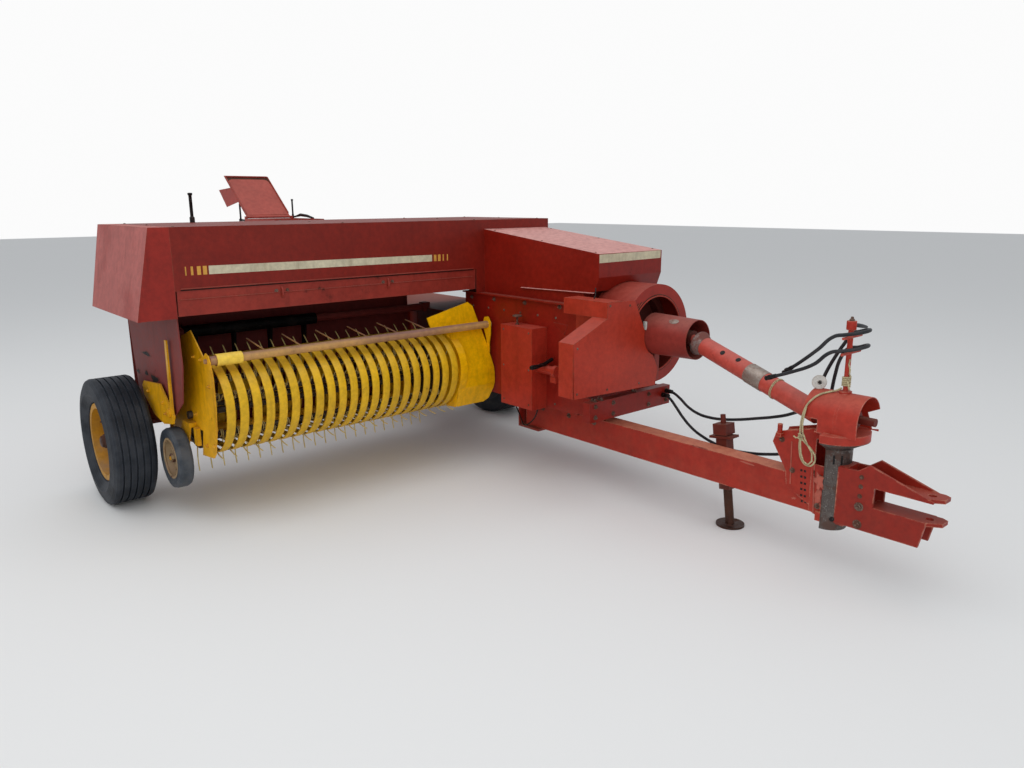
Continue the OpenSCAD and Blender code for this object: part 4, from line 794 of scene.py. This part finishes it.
def makeShroudTrim():
    steel, paintedShade, red, holes, burn, lip = newMeshes(6)
    for y in shroudTrim["hinges"]:
        place, _ = seat("flap", spot(0.9, y, 1.15), -toFront)
        lug = ((0.002, 0.03), (0.012, 0.012), (0.012, -0.012), (0.002, -0.022))
        addTube(red, [place + Vector((x, 0, z)) for x, z in lug], 0.006)
        for side in (-0.03, 0.03):
            addBolt(steel, place + Vector((0, side, 0.01)), toFront, 0.007)
    ends = [seat("flap", spot(0.9, y, 1.152), -toFront)[0] + toFront * 0.0008 for y in shroudTrim["flapEnds"]]
    addTube(red, [ends[0].lerp(ends[1], k / 8) for k in range(9)], 0.0035, 6)
    # hemmed lower edge of the front panel: a rolled lip, with a dark tube under it as its painted shadow
    edge = []
    first, last = shroudTrim["panelEnds"]
    for k in range(9):
        place, _ = seat("shroud", spot(0.9, first + (last - first) * k / 8, 1.204), -toFront)
        edge.append(Vector((place.x + 0.0012, place.y, 1.2035 - 0.0035 * k / 8)))
    addTube(red, edge, 0.0032)
    addTube(paintedShade, [p + Vector((-0.0008, 0, -0.0062)) for p in edge], 0.0026, 6)
    seatGrid(steel, "shroud", (-0.12, 0.27, 0.66), (-2.09, -1.2, -0.3, 0.22), (1.8,), -toTop, 0.007, "dome")
    seatGrid(steel, "shroud", (-0.5,), (-2.05, -1.45, -0.85, -0.25), (1.1, 1.45), toFront, 0.007)
    seatGrid(steel, "hood", (0.78, 1.2, 1.62), (-0.235, 0.235), (1.8,), -toTop, 0.006, "dome")
    seatGrid(steel, "hood", (0.85, 1.15, 1.45), (0.6,), (1.09,), toRight, 0.007)
    for x, z, wide, high in shroudTrim["holes"]:  # rusted through: each hole a dark patch of painted shade, with a burnt rim
        ripples = ((0.2, 3, 30 * x), (0.12, 7, 50 * z))
        for mesh, grow, off in ((burn, 1.45, 0.0002), (holes, 1.0, 0.0007)):
            addRagged(mesh, "feeder_housing", x, z, (wide * grow, high * grow), ripples, 16, off=off, thick=0.0005)
    front, _ = seat("hood", spot(1.3, -0.6, 1.125), -toRight)
    addPlate(lip, [spot(x, front.y - machineOffset.y + off, z) for x, off, z in shroudTrim["lip"]], 0.003)
    makePieces("base", ("shroud_screws", steel, "boltSteel", "bare_steel"),
        ("flap_hinges", red, "flapRed", "flap_paint"), ("panel_gap_shadow", paintedShade, "darkIronAndShade", "bare_steel"),
        ("rust_hole_shade", holes, "darkIronAndShade", "bare_steel"), ("rust_rims", burn, "axleRed", "shroud_paint"))
    makePiece("hood_lip", lip, "hoodRed", "base", bevel=0.0008)


makeStripes()
makeShroudTrim()
print("shroud trim made")

# ---- case, side box and shield fittings ----
caseTrim = {
    "plateX": (1.46, 1.538), "knob": (1.105, -0.34), "plug": (1.37, -0.42, 0.7), "cableSteps": 24,
    "knobForm": [(-0.001, 0.012), (0.004, 0.012), (0.006, 0.006), (0.04, 0.006), (0.042, 0.01), (0.046, 0.027),
                 (0.05, 0.029), (0.055, 0.027), (0.058, 0.012), (0.058, 0)],
    "plugForm": [(-0.001, 0.012), (0.045, 0.014), (0.055, 0.01), (0.057, 0)],
    "wedge": ((1.352, -0.287, 0.935), (1.47, -0.287, 0.93), (1.44, -0.287, 0.87)), "wedgeWide": 0.06,
    "post": ((-0.1, -1.735, 1.4905), 16, [(0, 0.014), (0.03, 0.014), (0.035, 0.009), (0.15, 0.009),
             (0.156, 0.013), (0.164, 0.013), (0.166, 0.008)]),
    "slimPost": ((-0.996, -0.6972, 1.485), 14, [(0, 0.008), (0.03, 0.008), (0.034, 0.006),
                 (0.128, 0.006), (0.13, 0.0085), (0.138, 0.0085), (0.14, 0.006)]),
    "stayEnd": ((-1.148, -1.03, 1.48), 14, [(-0.01, 0.012), (0.006, 0.012), (0.008, 0.0062),
                (0.112, 0.0062), (0.114, 0.005)])}


def makeCaseFittings():
    steel, plate, black, red = newMeshes(4)
    rows = [0.62 + 0.15 * k for k in range(6)]
    sideNuts = ((0.607, 1.014), (0.828, 1.018), (1.11, 1.022), (1.402, 1.026))
    shieldRivets = ((-0.62, 0.665), (-0.4, 0.655), (-0.15, 0.65), (-0.62, 0.895), (-0.24, 1.075), (-0.39, 1.085))
    seatBolts(steel, "plunger_case", [(x, -0.6, z) for x, z in sideNuts], -toRight, 0.009, "nut")
    seatGrid(steel, "plunger_case", rows, (-0.6,), (0.46, 0.96), -toRight, 0.0075, "dome")
    seatGrid(steel, "plunger_case", rows, (0.6,), (0.46, 0.74, 0.99), toRight, 0.0085)
    seatGrid(steel, "side_box", (1.05, 1.27), (-0.7,), (0.455, 0.66, 0.873), -toRight, 0.006, "dome")
    seatBolts(steel, "front_shield", [(2.2, y, z) for y, z in shieldRivets], -toFront, 0.0065, "dome")
    seatGrid(steel, "latch_rail", (2.2,), (-0.34, -0.2, 0.1, 0.255), (0.465, 0.525), -toFront, 0.009, "nut")
    seatGrid(steel, "latch_rail", (1.705, 1.725), (-0.33, -0.28, 0.0), (0.9,), -toTop, 0.009, "nut")
    # blank plate riveted on the case
    y = (seat("plunger_case", spot(1.5, -0.6, 1.026), -toRight)[0] - machineOffset).y
    x0, x1 = caseTrim["plateX"]
    corners = ((x0, 1.006), (x1, 1.01), (x1, 1.048), (x0, 1.044))
    addPlate(plate, [spot(x, y + 0.0002, z) for x, z in corners], 0.0008)
    for x, z in ((x0 + 0.004, 1.011), (x1 - 0.004, 1.015), (x0 + 0.004, 1.04), (x1 - 0.004, 1.043)):
        addDome(steel, spot(x, y - 0.0006, z), toRight, 0.0025)
    # knob on a stem above the side box
    top, _ = seat("side_box", spot(*caseTrim["knob"], 1.2), -toTop)
    addTurned(steel, caseTrim["knobForm"], top, toTop, 24)
    # wedge and plugged hose between box and shield
    addPlate(red, spots(*caseTrim["wedge"]), caseTrim["wedgeWide"])
    addTube(black, spots((1.36, -0.3, 0.725), (1.36, -0.36, 0.705), caseTrim["plug"]), 0.011, 10)
    addTurned(black, caseTrim["plugForm"], spot(*caseTrim["plug"]), toRight, 16)
    # spring wire at the shield's top corner
    place, _ = seat("front_shield", spot(1.72, -0.35, 1.5), -toTop)
    spring = ((0, 0, -0.004), (0.004, 0.01, 0.02), (-0.015, 0.03, 0.055))
    addTube(black, [place + Vector(step) for step in spring], 0.003, 6)
    # cable loop under the side box
    loop = []
    for k in range(caseTrim["cableSteps"] + 1):
        a = k / caseTrim["cableSteps"]
        hang = 0.13 * math.sin(math.pi * a) ** 0.8
        loop.append(spot(1.04 + 0.21 * a, -0.312 + 0.01 * math.sin(a * 9), 0.425 - hang))
    addTube(black, loop, 0.0042)
    # posts on the twine box, a lever between them and the lid's stay rod
    for key in ("post", "slimPost", "stayEnd"):
        foot, sides, profile = caseTrim[key]
        addTurned(black, profile, spot(*foot), toTop, sides)
    addTube(black, spots((-0.985, -0.6975, 1.497), (-0.93, -0.7, 1.503), (-0.86, -0.703, 1.513),
                         (-0.76, -0.703, 1.507), (-0.66, -0.704, 1.4925)), [0.006, 0.007, 0.011, 0.01, 0.006], 10)
    addTube(black, spots((-0.984, -1.03, 1.474), (-1.06, -1.03, 1.476), (-1.144, -1.03, 1.48)), 0.007, 10)
    makePieces("base", ("case_screws", steel, "boltSteel", "bare_steel"),
        ("blank_plate", plate, "plateWhite", "case_paint"), ("case_fittings", black, "blackSteelAndShade", "bare_steel"))
    makePiece("case_wedge", red, "caseRed", "base", bevel=0.001)


makeCaseFittings()
print("case fittings made")

# ---- twine lid: folded lips, inner panel and cheek ----
lid = {
    "hinge": (-0.997, 1.5), "open": 141, "sides": (-1.0445, -0.7205), "from": 0.03, "lipAt": 0.444, "lip": 0.012,
    "shadowFrom": 0.38, "cheek": ((-1.2535, 1.7076), (-1.129, 1.607), (-1.357, 1.57), (-1.485, 1.694)),
    "panel": ((0.02, 0.01), (0.395, 0.01), (0.412, 0.018), (0.422, 0.04))}  # distance, inset from the side


def makeLidTrim():
    red, paintedShade = newMeshes(2)
    a = math.radians(lid["open"])
    along, inward = spokeOut(a), -spokeOut(a + math.pi / 2)
    y0, y1 = lid["sides"]
    far, lip = lid["lipAt"], lid["lip"]

    def addOnLid(mesh, outline, thickness):  # outline: (distance from the hinge, y, height inside the lid)
        addPlate(mesh, [spot(lid["hinge"][0], y, lid["hinge"][1]) + along * distance + inward * (0.002 + height)
                        for distance, y, height in outline], thickness)

    for y in (y0, y1 - 0.002):
        addOnLid(red, ((lid["from"], y, -0.0005), (lid["from"], y, lip), (far, y, lip), (far, y, -0.0005)), -0.002)
    addOnLid(red, ((far, y0, -0.0005), (far, y0, lip), (far, y1, lip), (far, y1, -0.0005)), 0.002)
    panel = [(distance, y0 + inset, 0) for distance, inset in lid["panel"]]
    panel += [(distance, y1 - inset, 0) for distance, inset in lid["panel"][::-1]]
    addOnLid(red, panel, -0.0024)
    near, end, left, right = lid["shadowFrom"], far - 0.001, y0 + 0.003, y1 - 0.003
    addOnLid(paintedShade, ((near, left, 0), (end, left, 0), (end, right, 0), (near, right, 0)), -0.0006)
    addPlate(red, [spot(x, y0 + 0.001, z) for x, z in lid["cheek"]], 0.003)
    makePieces("twine_lid", ("lid_trim", red, "twineRed", "box_paint"),
        ("lid_shadow", paintedShade, "darkRustAndShade", "bare_steel"))


makeLidTrim()
print("lid trim made")

# ---- drive line fittings ----
driveTube = {
    "joint": (2.1, 0.0, 0.9), "yaw": -11.1, "drop": 14.6, "radius": 0.047,
    "collar": [(0.412, 0.0002), (0.412, 0.0018), (0.416, 0.0028), (0.516, 0.0028), (0.52, 0.0018),
               (0.52, 0.0002)],  # distance along the tube, height over it
    "holes": ((0.245, 42), (0.345, 30)), "ties": ((0.585, 0.0022), (0.592, 0.002)),
    "guard": [(0.05, 0.0474), (0.05, 0.063), (0.055, 0.064), (0.07, 0.0575), (0.086, 0.0506),
              (0.096, 0.0474), (0.096, 0.0472), (0.085, 0.0485), (0.068, 0.055), (0.056, 0.0605),
              (0.053, 0.0474)]}
ringLines = {
    "centre": (1.8604, 0.0, 0.9), "steps": 60,  # radius, first and last degree, thickness
    "beads": ((0.203, 0, 360, 0.0042), (0.218, 36, 86, 0.0034), (0.23, 42, 80, 0.0034)),
    # grooves: thin dark lines of painted shade beside the beads
    "grooves": ((0.2095, 0, 360, 0.0026), (0.2235, 36, 86, 0.0028), (0.2355, 42, 80, 0.0028))}


def alongTube(distance, around=0.0, off=0.0):  # a point on the drive tube, its angle from the top to the right
    drop = math.radians(driveTube["drop"])
    way = levelOut(driveTube["yaw"]) * math.cos(drop) - toTop * math.sin(drop)
    side = way.cross(toTop).normalized()
    a = math.radians(around)
    out = side.cross(way).normalized() * math.cos(a) + side * math.sin(a)
    return spot(*driveTube["joint"]) + way * distance + out * (driveTube["radius"] + off), out, way


def makeDriveFittings():
    collar, black, plate, white, tie, cone, beads, grooves = newMeshes(8)
    way = alongTube(0)[2]
    centre = spot(*driveTube["joint"])
    addRing(collar, [(along, driveTube["radius"] + over) for along, over in driveTube["collar"]], centre, way, 48)
    addRing(cone, driveTube["guard"], centre, way, 48)  # grey guard round the joint, inside the bell
    # holes in the tube: black discs of painted shade
    for distance, around in driveTube["holes"]:
        point, out, _ = alongTube(distance, around, -0.0006)
        addTurned(black, [(0, 0.013), (0.0012, 0.013)], point, out, 22)
    for start, radius in driveTube["ties"]:  # cord tied round the tube
        turns = [15 * k for k in range(25)]
        addTube(tie, [alongTube(start + 0.004 * math.sin(math.radians(a)), a, radius)[0] for a in turns], radius, 6)
    knot, out, _ = alongTube(0.588, 48, 0.003)
    hanging = ((0.002, 0), (0.006, 0.014), (0.004, 0.034))
    addTube(tie, [knot + out * off - toTop * low for off, low in hanging], 0.0022, 6)
    # bell: blank oval plate, white latch
    place, normal = seat("drive_bell", spot(2.02, -0.06, 1.3), -toTop)
    over = normal.cross(toFront).normalized()
    oval = []
    for k in range(20):
        a = 2 * math.pi * k / 20
        lift = 0.0012 - (0.017 * math.sin(a)) ** 2 / 0.22  # follows the bell's round
        oval.append(place + toFront * 0.03 * math.cos(a) + over * 0.017 * math.sin(a) + normal * lift)
    addPlate(plate, oval, 0.0012)
    place, _ = seat("drive_bell", spot(1.85, -0.3, 0.955), -toRight)
    latch = ((0.006, -0.022), (0.026, -0.022), (0.026, 0.022), (0.006, 0.022))
    addPlate(white, [place + Vector((x, -0.002, z)) for x, z in latch], 0.01)
    for mesh, key in ((beads, "beads"), (grooves, "grooves")):
        for radius, first, last, thick in ringLines[key]:
            line = []
            for k in range(ringLines["steps"] + 1):
                a = math.radians(first + (last - first) * k / ringLines["steps"])
                line.append(spot(*ringLines["centre"]) + (toRight * math.sin(a) + toTop * math.cos(a)) * radius)
            addTube(mesh, line, thick)
    makePieces("drive_line", ("inner_guard", cone, "guardGrey", "bare_steel"),
        ("tube_collar", collar, "collarGrey", "bare_steel"), ("tube_tie", tie, "twineRope", "rope"),
        ("tube_hole_shade", black, "blackSteelAndShade", "bare_steel"))
    makePiece("bell_plate", plate, "collarGrey", "base")
    makePiece("bell_latch", white, "discWhite", "base", bevel=0.002)
    makePieces("base", ("ring_beads", beads, "boxRed", "shield_paint"),
        ("ring_grooves", grooves, "darkRustAndShade", "shield_paint"))


makeDriveFittings()
print("drive fittings made")

# ---- tongue, pedestal, hitch and jack fittings ----
tongueTrim = {
    # x, z; the last nut is on the right only
    "nuts": ((2.77, 0.56), (2.86, 0.6), (2.96, 0.3), (2.96, 0.43), (2.83, 0.43)),
    "carrierNuts": (1.2, 1.42, 1.62), "clevisBolts": ((0.48, 0.0065), (0.439, 0.0065), (0.397, 0.0065)),
    "clevisNuts": ((0.35, 0.013), (0.272, 0.013)),
    "welds": ((2.818, 0.56, 2.826, 0.365), (2.932, 0.487, 2.946, 0.262)),
    "scuffs": ((2.968, 0.418, 0.02, 0.034, 0.2), (2.96, 0.345, 0.016, 0.04, -0.1), (2.978, 0.3, 0.012, 0.02, 0.5),
               (2.845, 0.3, 0.012, 0.005, 0.3), (2.6, 0.402, 0.04, 0.004, -0.05), (2.33, 0.415, 0.055, 0.004, 0)),
    "disc": [(-0.007, 0.022), (-0.007, 0.028), (-0.003, 0.031), (-0.001, 0.024), (0.001, 0.024), (0.003, 0.031),
             (0.007, 0.028), (0.007, 0.022), (0.008, 0.01), (0.003, 0.008), (0.003, 0)],
    "discAt": (2.896, -0.178, 0.8355), "discFacing": (0.62, -0.78, 0.1), "ferrules": ((0.255, 0.52), (0.225, 0.5)),
    "plug": ((3.01, -0.158, 1.092), (3.012, -0.12, 1.09), (3.014, -0.085, 1.083), (3.015, -0.045, 1.075))}
post = {
    "x": 3.01, "y": -0.17, "wraps": 62, "wrapFoot": 0.836, "wrapRise": 0.0082,
    "sleeve": [(1.076, 0.0112), (1.076, 0.0185), (1.078, 0.02), (1.112, 0.02), (1.1138, 0.0185), (1.1138, 0.0112)]}
ropeRoutes = {
    "upper": ((3.026, -0.182, 0.892), (3.03, -0.188, 0.912), (3.022, -0.186, 0.934), (3.024, -0.183, 0.955)),
    "lower": ((3.02, -0.183, 0.862), (3.03, -0.192, 0.85), (3.034, -0.194, 0.836), (3.036, -0.19, 0.828)),
    "strand": ((2.8985, -0.2755, 0.744), (2.896, -0.283, 0.712), (2.894, -0.2885, 0.672), (2.9, -0.293, 0.634),
               (2.923, -0.2965, 0.594), (2.95, -0.295, 0.554), (2.952, -0.293, 0.518), (2.936, -0.293, 0.498),
               (2.914, -0.293, 0.508), (2.901, -0.2945, 0.54), (2.896, -0.296, 0.576), (2.896, -0.299, 0.606)),
    "end": ((2.89, -0.3, 0.612), (2.876, -0.301, 0.606), (2.864, -0.3, 0.612))}


def makeTongueFittings():
    steel, black, white, plug, sleeve, rope, seams, scuffs, ferrules = newMeshes(9)
    for k in range(6):  # square punched holes in the pedestal's plate, drawn as black plates of painted shade
        place, _ = seat("tongue", spot(2.8815 + 0.0022 * k, -0.6, 0.441 - 0.0285 * k), -toRight)
        for middle in (-0.008, 0.009):
            corners = ((-0.005, -0.005), (0.005, -0.005), (0.005, 0.005), (-0.005, 0.005))
            addPlate(black, [place + Vector((middle + x, 0.0002, z)) for x, z in corners], 0.0009)
    seatBolts(steel, "tongue", [(x, -0.6, z) for x, z in tongueTrim["nuts"]], -toRight, 0.009, "nut")
    seatBolts(steel, "tongue", [(x, 0.3, z) for x, z in tongueTrim["nuts"][:4]], toRight, 0.009, "nut")
    for key, kind in (("clevisBolts", "bolt"), ("clevisNuts", "nut")):
        for z, size in tongueTrim[key]:
            seatBolts(steel, "hitch_clevis", [(3.139, -0.6, z)], -toRight, size, kind)
    seatBolts(steel, "tongue", [(x, -0.6, 0.39) for x in tongueTrim["carrierNuts"]], -toRight, 0.01, "nut")
    # insulator disc on the cover
    centre, facing = spot(*tongueTrim["discAt"]), Vector(tongueTrim["discFacing"]).normalized()
    addTurned(white, tongueTrim["disc"], centre, facing, 30)
    addTube(black, [centre - facing * 0.01, centre + facing * 0.012], 0.006, 10)
    addTube(black, [spot(2.9, -0.172, 0.805), centre - facing * 0.006], 0.004)
    # post head: a sleeve with its bolt, and the rope lashed round the post's foot
    addRing(sleeve, post["sleeve"], spot(post["x"], post["y"], 0), toTop, 28)
    addBolt(steel, spot(post["x"], post["y"], 1.1125), toTop, 0.011, nut=True)
    wraps = [spot(post["x"], post["y"], post["wrapFoot"] + post["wrapRise"] * k / 12) + levelOut(30 * k, 0.015)
             for k in range(post["wraps"])]
    addTube(rope, wraps, 0.004)
    addTube(rope, [wraps[-1]] + spots(*ropeRoutes["upper"]), 0.0034)
    addTube(rope, spots(*ropeRoutes["lower"]), 0.0034)
    addTube(rope, spots(*ropeRoutes["strand"]), 0.0036)
    knot = [spot(2.894 + 0.0085 * step.x, -0.2975 + 0.004 * step.y, 0.6 + 0.0011 * k)
            for k, step in enumerate(levelOut(40 * k) for k in range(24))]
    addTube(rope, knot, 0.0034, 6)
    addTube(rope, spots(*ropeRoutes["end"]), 0.003, 6)
    addTube(plug, spots(*tongueTrim["plug"]), [0.007, 0.009, 0.009, 0.006], 10)
    for x0, z0, x1, z1 in tongueTrim["welds"]:  # down the pedestal's plate
        starts = [spot(x0 + (x1 - x0) * k / 12, -0.6, z0 + (z1 - z0) * k / 12) for k in range(13)]
        addTube(seams, [seat("tongue", start, -toRight)[0] + toRight * 0.0004 for start in starts], 0.0034, 6)
    for x, z, wide, high, turn in tongueTrim["scuffs"]:
        addRagged(scuffs, "tongue", x, z, (wide, high), ((0.22, 5, 40 * x), (0.14, 9, 70 * z)), 14, turn)
    for y, z in tongueTrim["ferrules"]:  # hose ends screwed into the rail
        addTurned(ferrules, [(-0.0004, 0.0145), (0.014, 0.0145), (0.015, 0.0135)], spot(1.74, y, z), toFront, 6)
        addRing(ferrules, [(0.014, 0.0084), (0.014, 0.0118), (0.016, 0.0124), (0.046, 0.0118), (0.048, 0.0105),
                           (0.048, 0.0084)], spot(1.74, y, z), toFront, 20)
    makePieces("tongue", ("post_sleeve", sleeve, "coverRed", "tongue_paint"),
        ("rope_lashing", rope, "twineRope", "rope"), ("pedestal_welds", seams, "scuffRed", "tongue_paint"),
        ("paint_scuffs", scuffs, "scuffRed", "tongue_paint"), ("tongue_screws", steel, "boltSteel", "bare_steel"),
        ("pedestal_hole_shade", black, "blackSteelAndShade", "bare_steel"), ("insulator", white, "discWhite", "rope"),
        ("spare_plug", plug, "hoseRubber", "hose_rubber"))
    makePiece("hose_ferrules", ferrules, "blackSteelAndShade", "base")


shaftGuard = {
    "x": 2.985, "y": -0.17, "radius": 0.0754, "low": 0.2105, "high": 0.5725, "face": 0.0768,
    "slots": (-62, -38), "slotAt": 0.528, "hole": -52, "holeAt": 0.262,
    "pan": ((0.0768, 0.5728), (0.1403, 0.6086))}  # radius, z of the pan's underside, grey-brown as painted shade


def makeShaftGuard():  # half tube over the stub, with its bead and two slots
    skin, paintedShade = newMeshes(2)
    axis = spot(shaftGuard["x"], shaftGuard["y"], 0)

    def halfRing(radius, z):
        return [skin.verts.new(axis + levelOut(a, radius) + toTop * z) for a in range(-90, 91, 6)]

    z0, z1, radius = shaftGuard["low"], shaftGuard["high"], shaftGuard["radius"]
    bead = radius + 0.0016
    rolled = [(bead, z0), (bead, z0 + 0.006), (radius, z0 + 0.012)]
    rolled += [(radius, z1 - 0.012), (bead, z1 - 0.006), (bead, z1)]
    joinRings(skin, [halfRing(r, z) for r, z in rolled], closed=False)
    # the pan's underside, in the guard's grey: painted shade
    joinRings(skin, [halfRing(r, z) for r, z in shaftGuard["pan"]], closed=False)
    # the two slots and the hole are dark plates of painted shade
    for a in shaftGuard["slots"]:
        middle = axis + levelOut(a, shaftGuard["face"]) + toTop * shaftGuard["slotAt"]
        corners = ((-0.004, -0.02), (0.004, -0.02), (0.004, 0.02), (-0.004, 0.02))
        addPlate(paintedShade, [middle + levelOut(a + 90, x) + toTop * z for x, z in corners], 0.0006)
    out = levelOut(shaftGuard["hole"])
    middle = axis + out * shaftGuard["face"] + toTop * shaftGuard["holeAt"]
    addTurned(paintedShade, [(0, 0.011), (0.0006, 0.011)], middle, out, 20)
    makePiece("guard_skin", skin, "tubeGrey", "tongue", solid=0.0006)
    makePiece("guard_slot_shade", paintedShade, "blackSteelAndShade", "tongue")


def makeCoupler(name, route):  # threaded hose end with its hex collar
    mesh = bmesh.new()
    end, before = Vector(route[-1]) / 1000, Vector(route[-2]) / 1000
    way = (end - before).normalized()
    start = spot(*end) - way * 0.012
    addTurned(mesh, [(-0.03, 0.0095), (-0.004, 0.0105), (-0.002, 0.012)], start, way, 18)
    addTurned(mesh, [(-0.004, 0.013), (0.01, 0.013), (0.012, 0.011)], start, way, 6)
    nose = [(0.01, 0.0095), (0.02, 0.0095), (0.022, 0.011), (0.027, 0.011), (0.029, 0.008), (0.029, 0)]
    addTurned(mesh, nose, start, way, 18)
    return makePiece(name, mesh, "blackSteelAndShade", "tongue")


makeTongueFittings()
makeShaftGuard()
liftCoupler = makeCoupler("lift_coupler", cords["lift"])
tensionCoupler = makeCoupler("tension_coupler", cords["tension"])
for cord in (liftHose, tensionHose, tripRope):
    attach(cord, "tongue")
print("tongue fittings and cords made")

# ---- pickup frame fittings: nuts, a dark sheet behind the bands as painted shade, the wind guard's sleeve ----
pickupShadeSheet = {
    "from": -2.046, "to": -0.556, "rear": 0.1452, "front": 0.1482, "low": 0.345, "high": 0.56, "beadDepth": 0.001,
    "bead": (0.452, 0.458, 0.47, 0.476)}
pickupNuts = ((0.62, 0.86), (0.72, 0.86), (0.8, 0.74), (0.8, 0.44), (0.7, 0.42), (0.4, 0.6), (0.58, 0.56),
              (0.47, 0.56), (0.16, 0.62))


def makePickupFittings():
    steel, sheet, yellow = newMeshes(3)
    seatBolts(steel, "pickup_frame", [(x, -2.6, z) for x, z in pickupNuts], -toRight, 0.008, "nut")
    rear, front, (b0, b1, b2, b3) = pickupShadeSheet["rear"], pickupShadeSheet["front"], pickupShadeSheet["bead"]
    low, high, sunk = pickupShadeSheet["low"], pickupShadeSheet["high"], front - pickupShadeSheet["beadDepth"]
    profile = [(rear, low), (front, low), (front, b0), (sunk, b1), (sunk, b2), (front, b3), (front, high),
               (rear, high)]  # with a pressed bead along its middle
    # a dark red sheet behind the bands, put where there is only shade
    ends = [[sheet.verts.new(spot(x, pickupShadeSheet[end], z)) for x, z in profile] for end in ("from", "to")]
    joinRings(sheet, ends)
    closeEnds(sheet, ends)
    addRing(yellow, [(-1.994, 0.0285), (-1.994, 0.0298), (-1.866, 0.0298), (-1.866, 0.0285)],
            spot(0.79, 0, 0.862), -toRight, 40)
    makePieces("pickup", ("pickup_screws", steel, "frameYellow", "pickup_paint"),
        ("pickup_shade_sheet", sheet, "housingRed", "pickup_paint"))
    makePiece("guard_sleeve", yellow, "sleeveYellow", "wind_guard", bevel=0.0004)


# ---- rear fittings: bolts of the chamber, twine box and axle ----
def makeRearFittings():
    steel = bmesh.new()
    xs, zs = (-1.93, -1.58, -1.23, -0.68, -0.23), (0.56, 0.7, 0.85)
    for y, direction in ((-0.8, -toRight), (0.8, toRight)):
        seatGrid(steel, "bale_chamber", xs, (y,), zs, direction, 0.0075)
    seatGrid(steel, "twine_box", (-0.95, -0.75, -0.54), (-1.4,), (0.95, 1.43), -toRight, 0.006, "dome")
    seatGrid(steel, "twine_box", (-0.2,), (-1.02, -0.75), (0.95, 1.2, 1.43), -toFront, 0.006, "dome")
    seatGrid(steel, "axle", (0.3,), (-1.94, -1.28, -0.26, 0.24), (0.445,), -toFront, 0.01, "nut")
    makePiece("rear_screws", steel, "boltSteel", "base")


makePickupFittings()
makeRearFittings()
print("pickup and rear fittings made")

# ---- light and floor ----
light = {
    "world": 0.62, "sky": (0.93, 0.96, 1.0, 1), "backdrop": (0.97, 0.97, 0.97, 1), "floor": (0.8, 0.8, 0.79, 1),
    "topLamp": (210, 9, (1.0, -2.2, 6.5), (0.4, -0.6, 0.5)),  # power, size, place, aim
    "frontLamp": (90, 6, (6.5, -5.0, 3.5), (0.6, -0.8, 0.6))}


def makeLight():
    world = bpy.data.worlds.new("studio")
    bpy.context.scene.world = world
    world.use_nodes = True
    t = world.node_tree
    soft = t.nodes["Background"]
    soft.inputs[0].default_value = light["sky"]
    soft.inputs[1].default_value = light["world"]
    seen = put(t, "Background", {0: light["backdrop"], 1: 1.0})
    path = t.nodes.new("ShaderNodeLightPath").outputs
    direct = plus(t, path["Is Camera Ray"], path["Is Transmission Ray"], True)
    both = put(t, "MixShader", {0: direct, 1: soft.outputs[0], 2: seen.outputs[0]})
    t.links.new(both.outputs[0], t.nodes["World Output"].inputs[0])
    for name in ("topLamp", "frontLamp"):
        power, size, place, aim = light[name]
        lamp = bpy.data.lights.new(name, "AREA")
        lamp.energy = power
        lamp.size = size
        holder = bpy.data.objects.new(name, lamp)
        bpy.context.scene.collection.objects.link(holder)
        holder.location = spot(*place)
        holder.rotation_euler = (spot(*aim) - spot(*place)).to_track_quat("-Z", "Y").to_euler()


def makeFloor():
    mesh = bmesh.new()
    bmesh.ops.create_grid(mesh, x_segments=1, y_segments=1, size=40)
    floor = linkMesh("floor", mesh)
    material = bpy.data.materials.new("paleFloor")
    material.use_nodes = True
    shader = material.node_tree.nodes["Principled BSDF"]
    shader.inputs["Base Color"].default_value = light["floor"]
    shader.inputs["Roughness"].default_value = 0.9
    shader.inputs["Specular IOR Level"].default_value = 0.1
    floor.data.materials.append(material)


makeLight()
makeFloor()
bpy.context.scene.view_settings.view_transform = "Standard"
print("scene made")
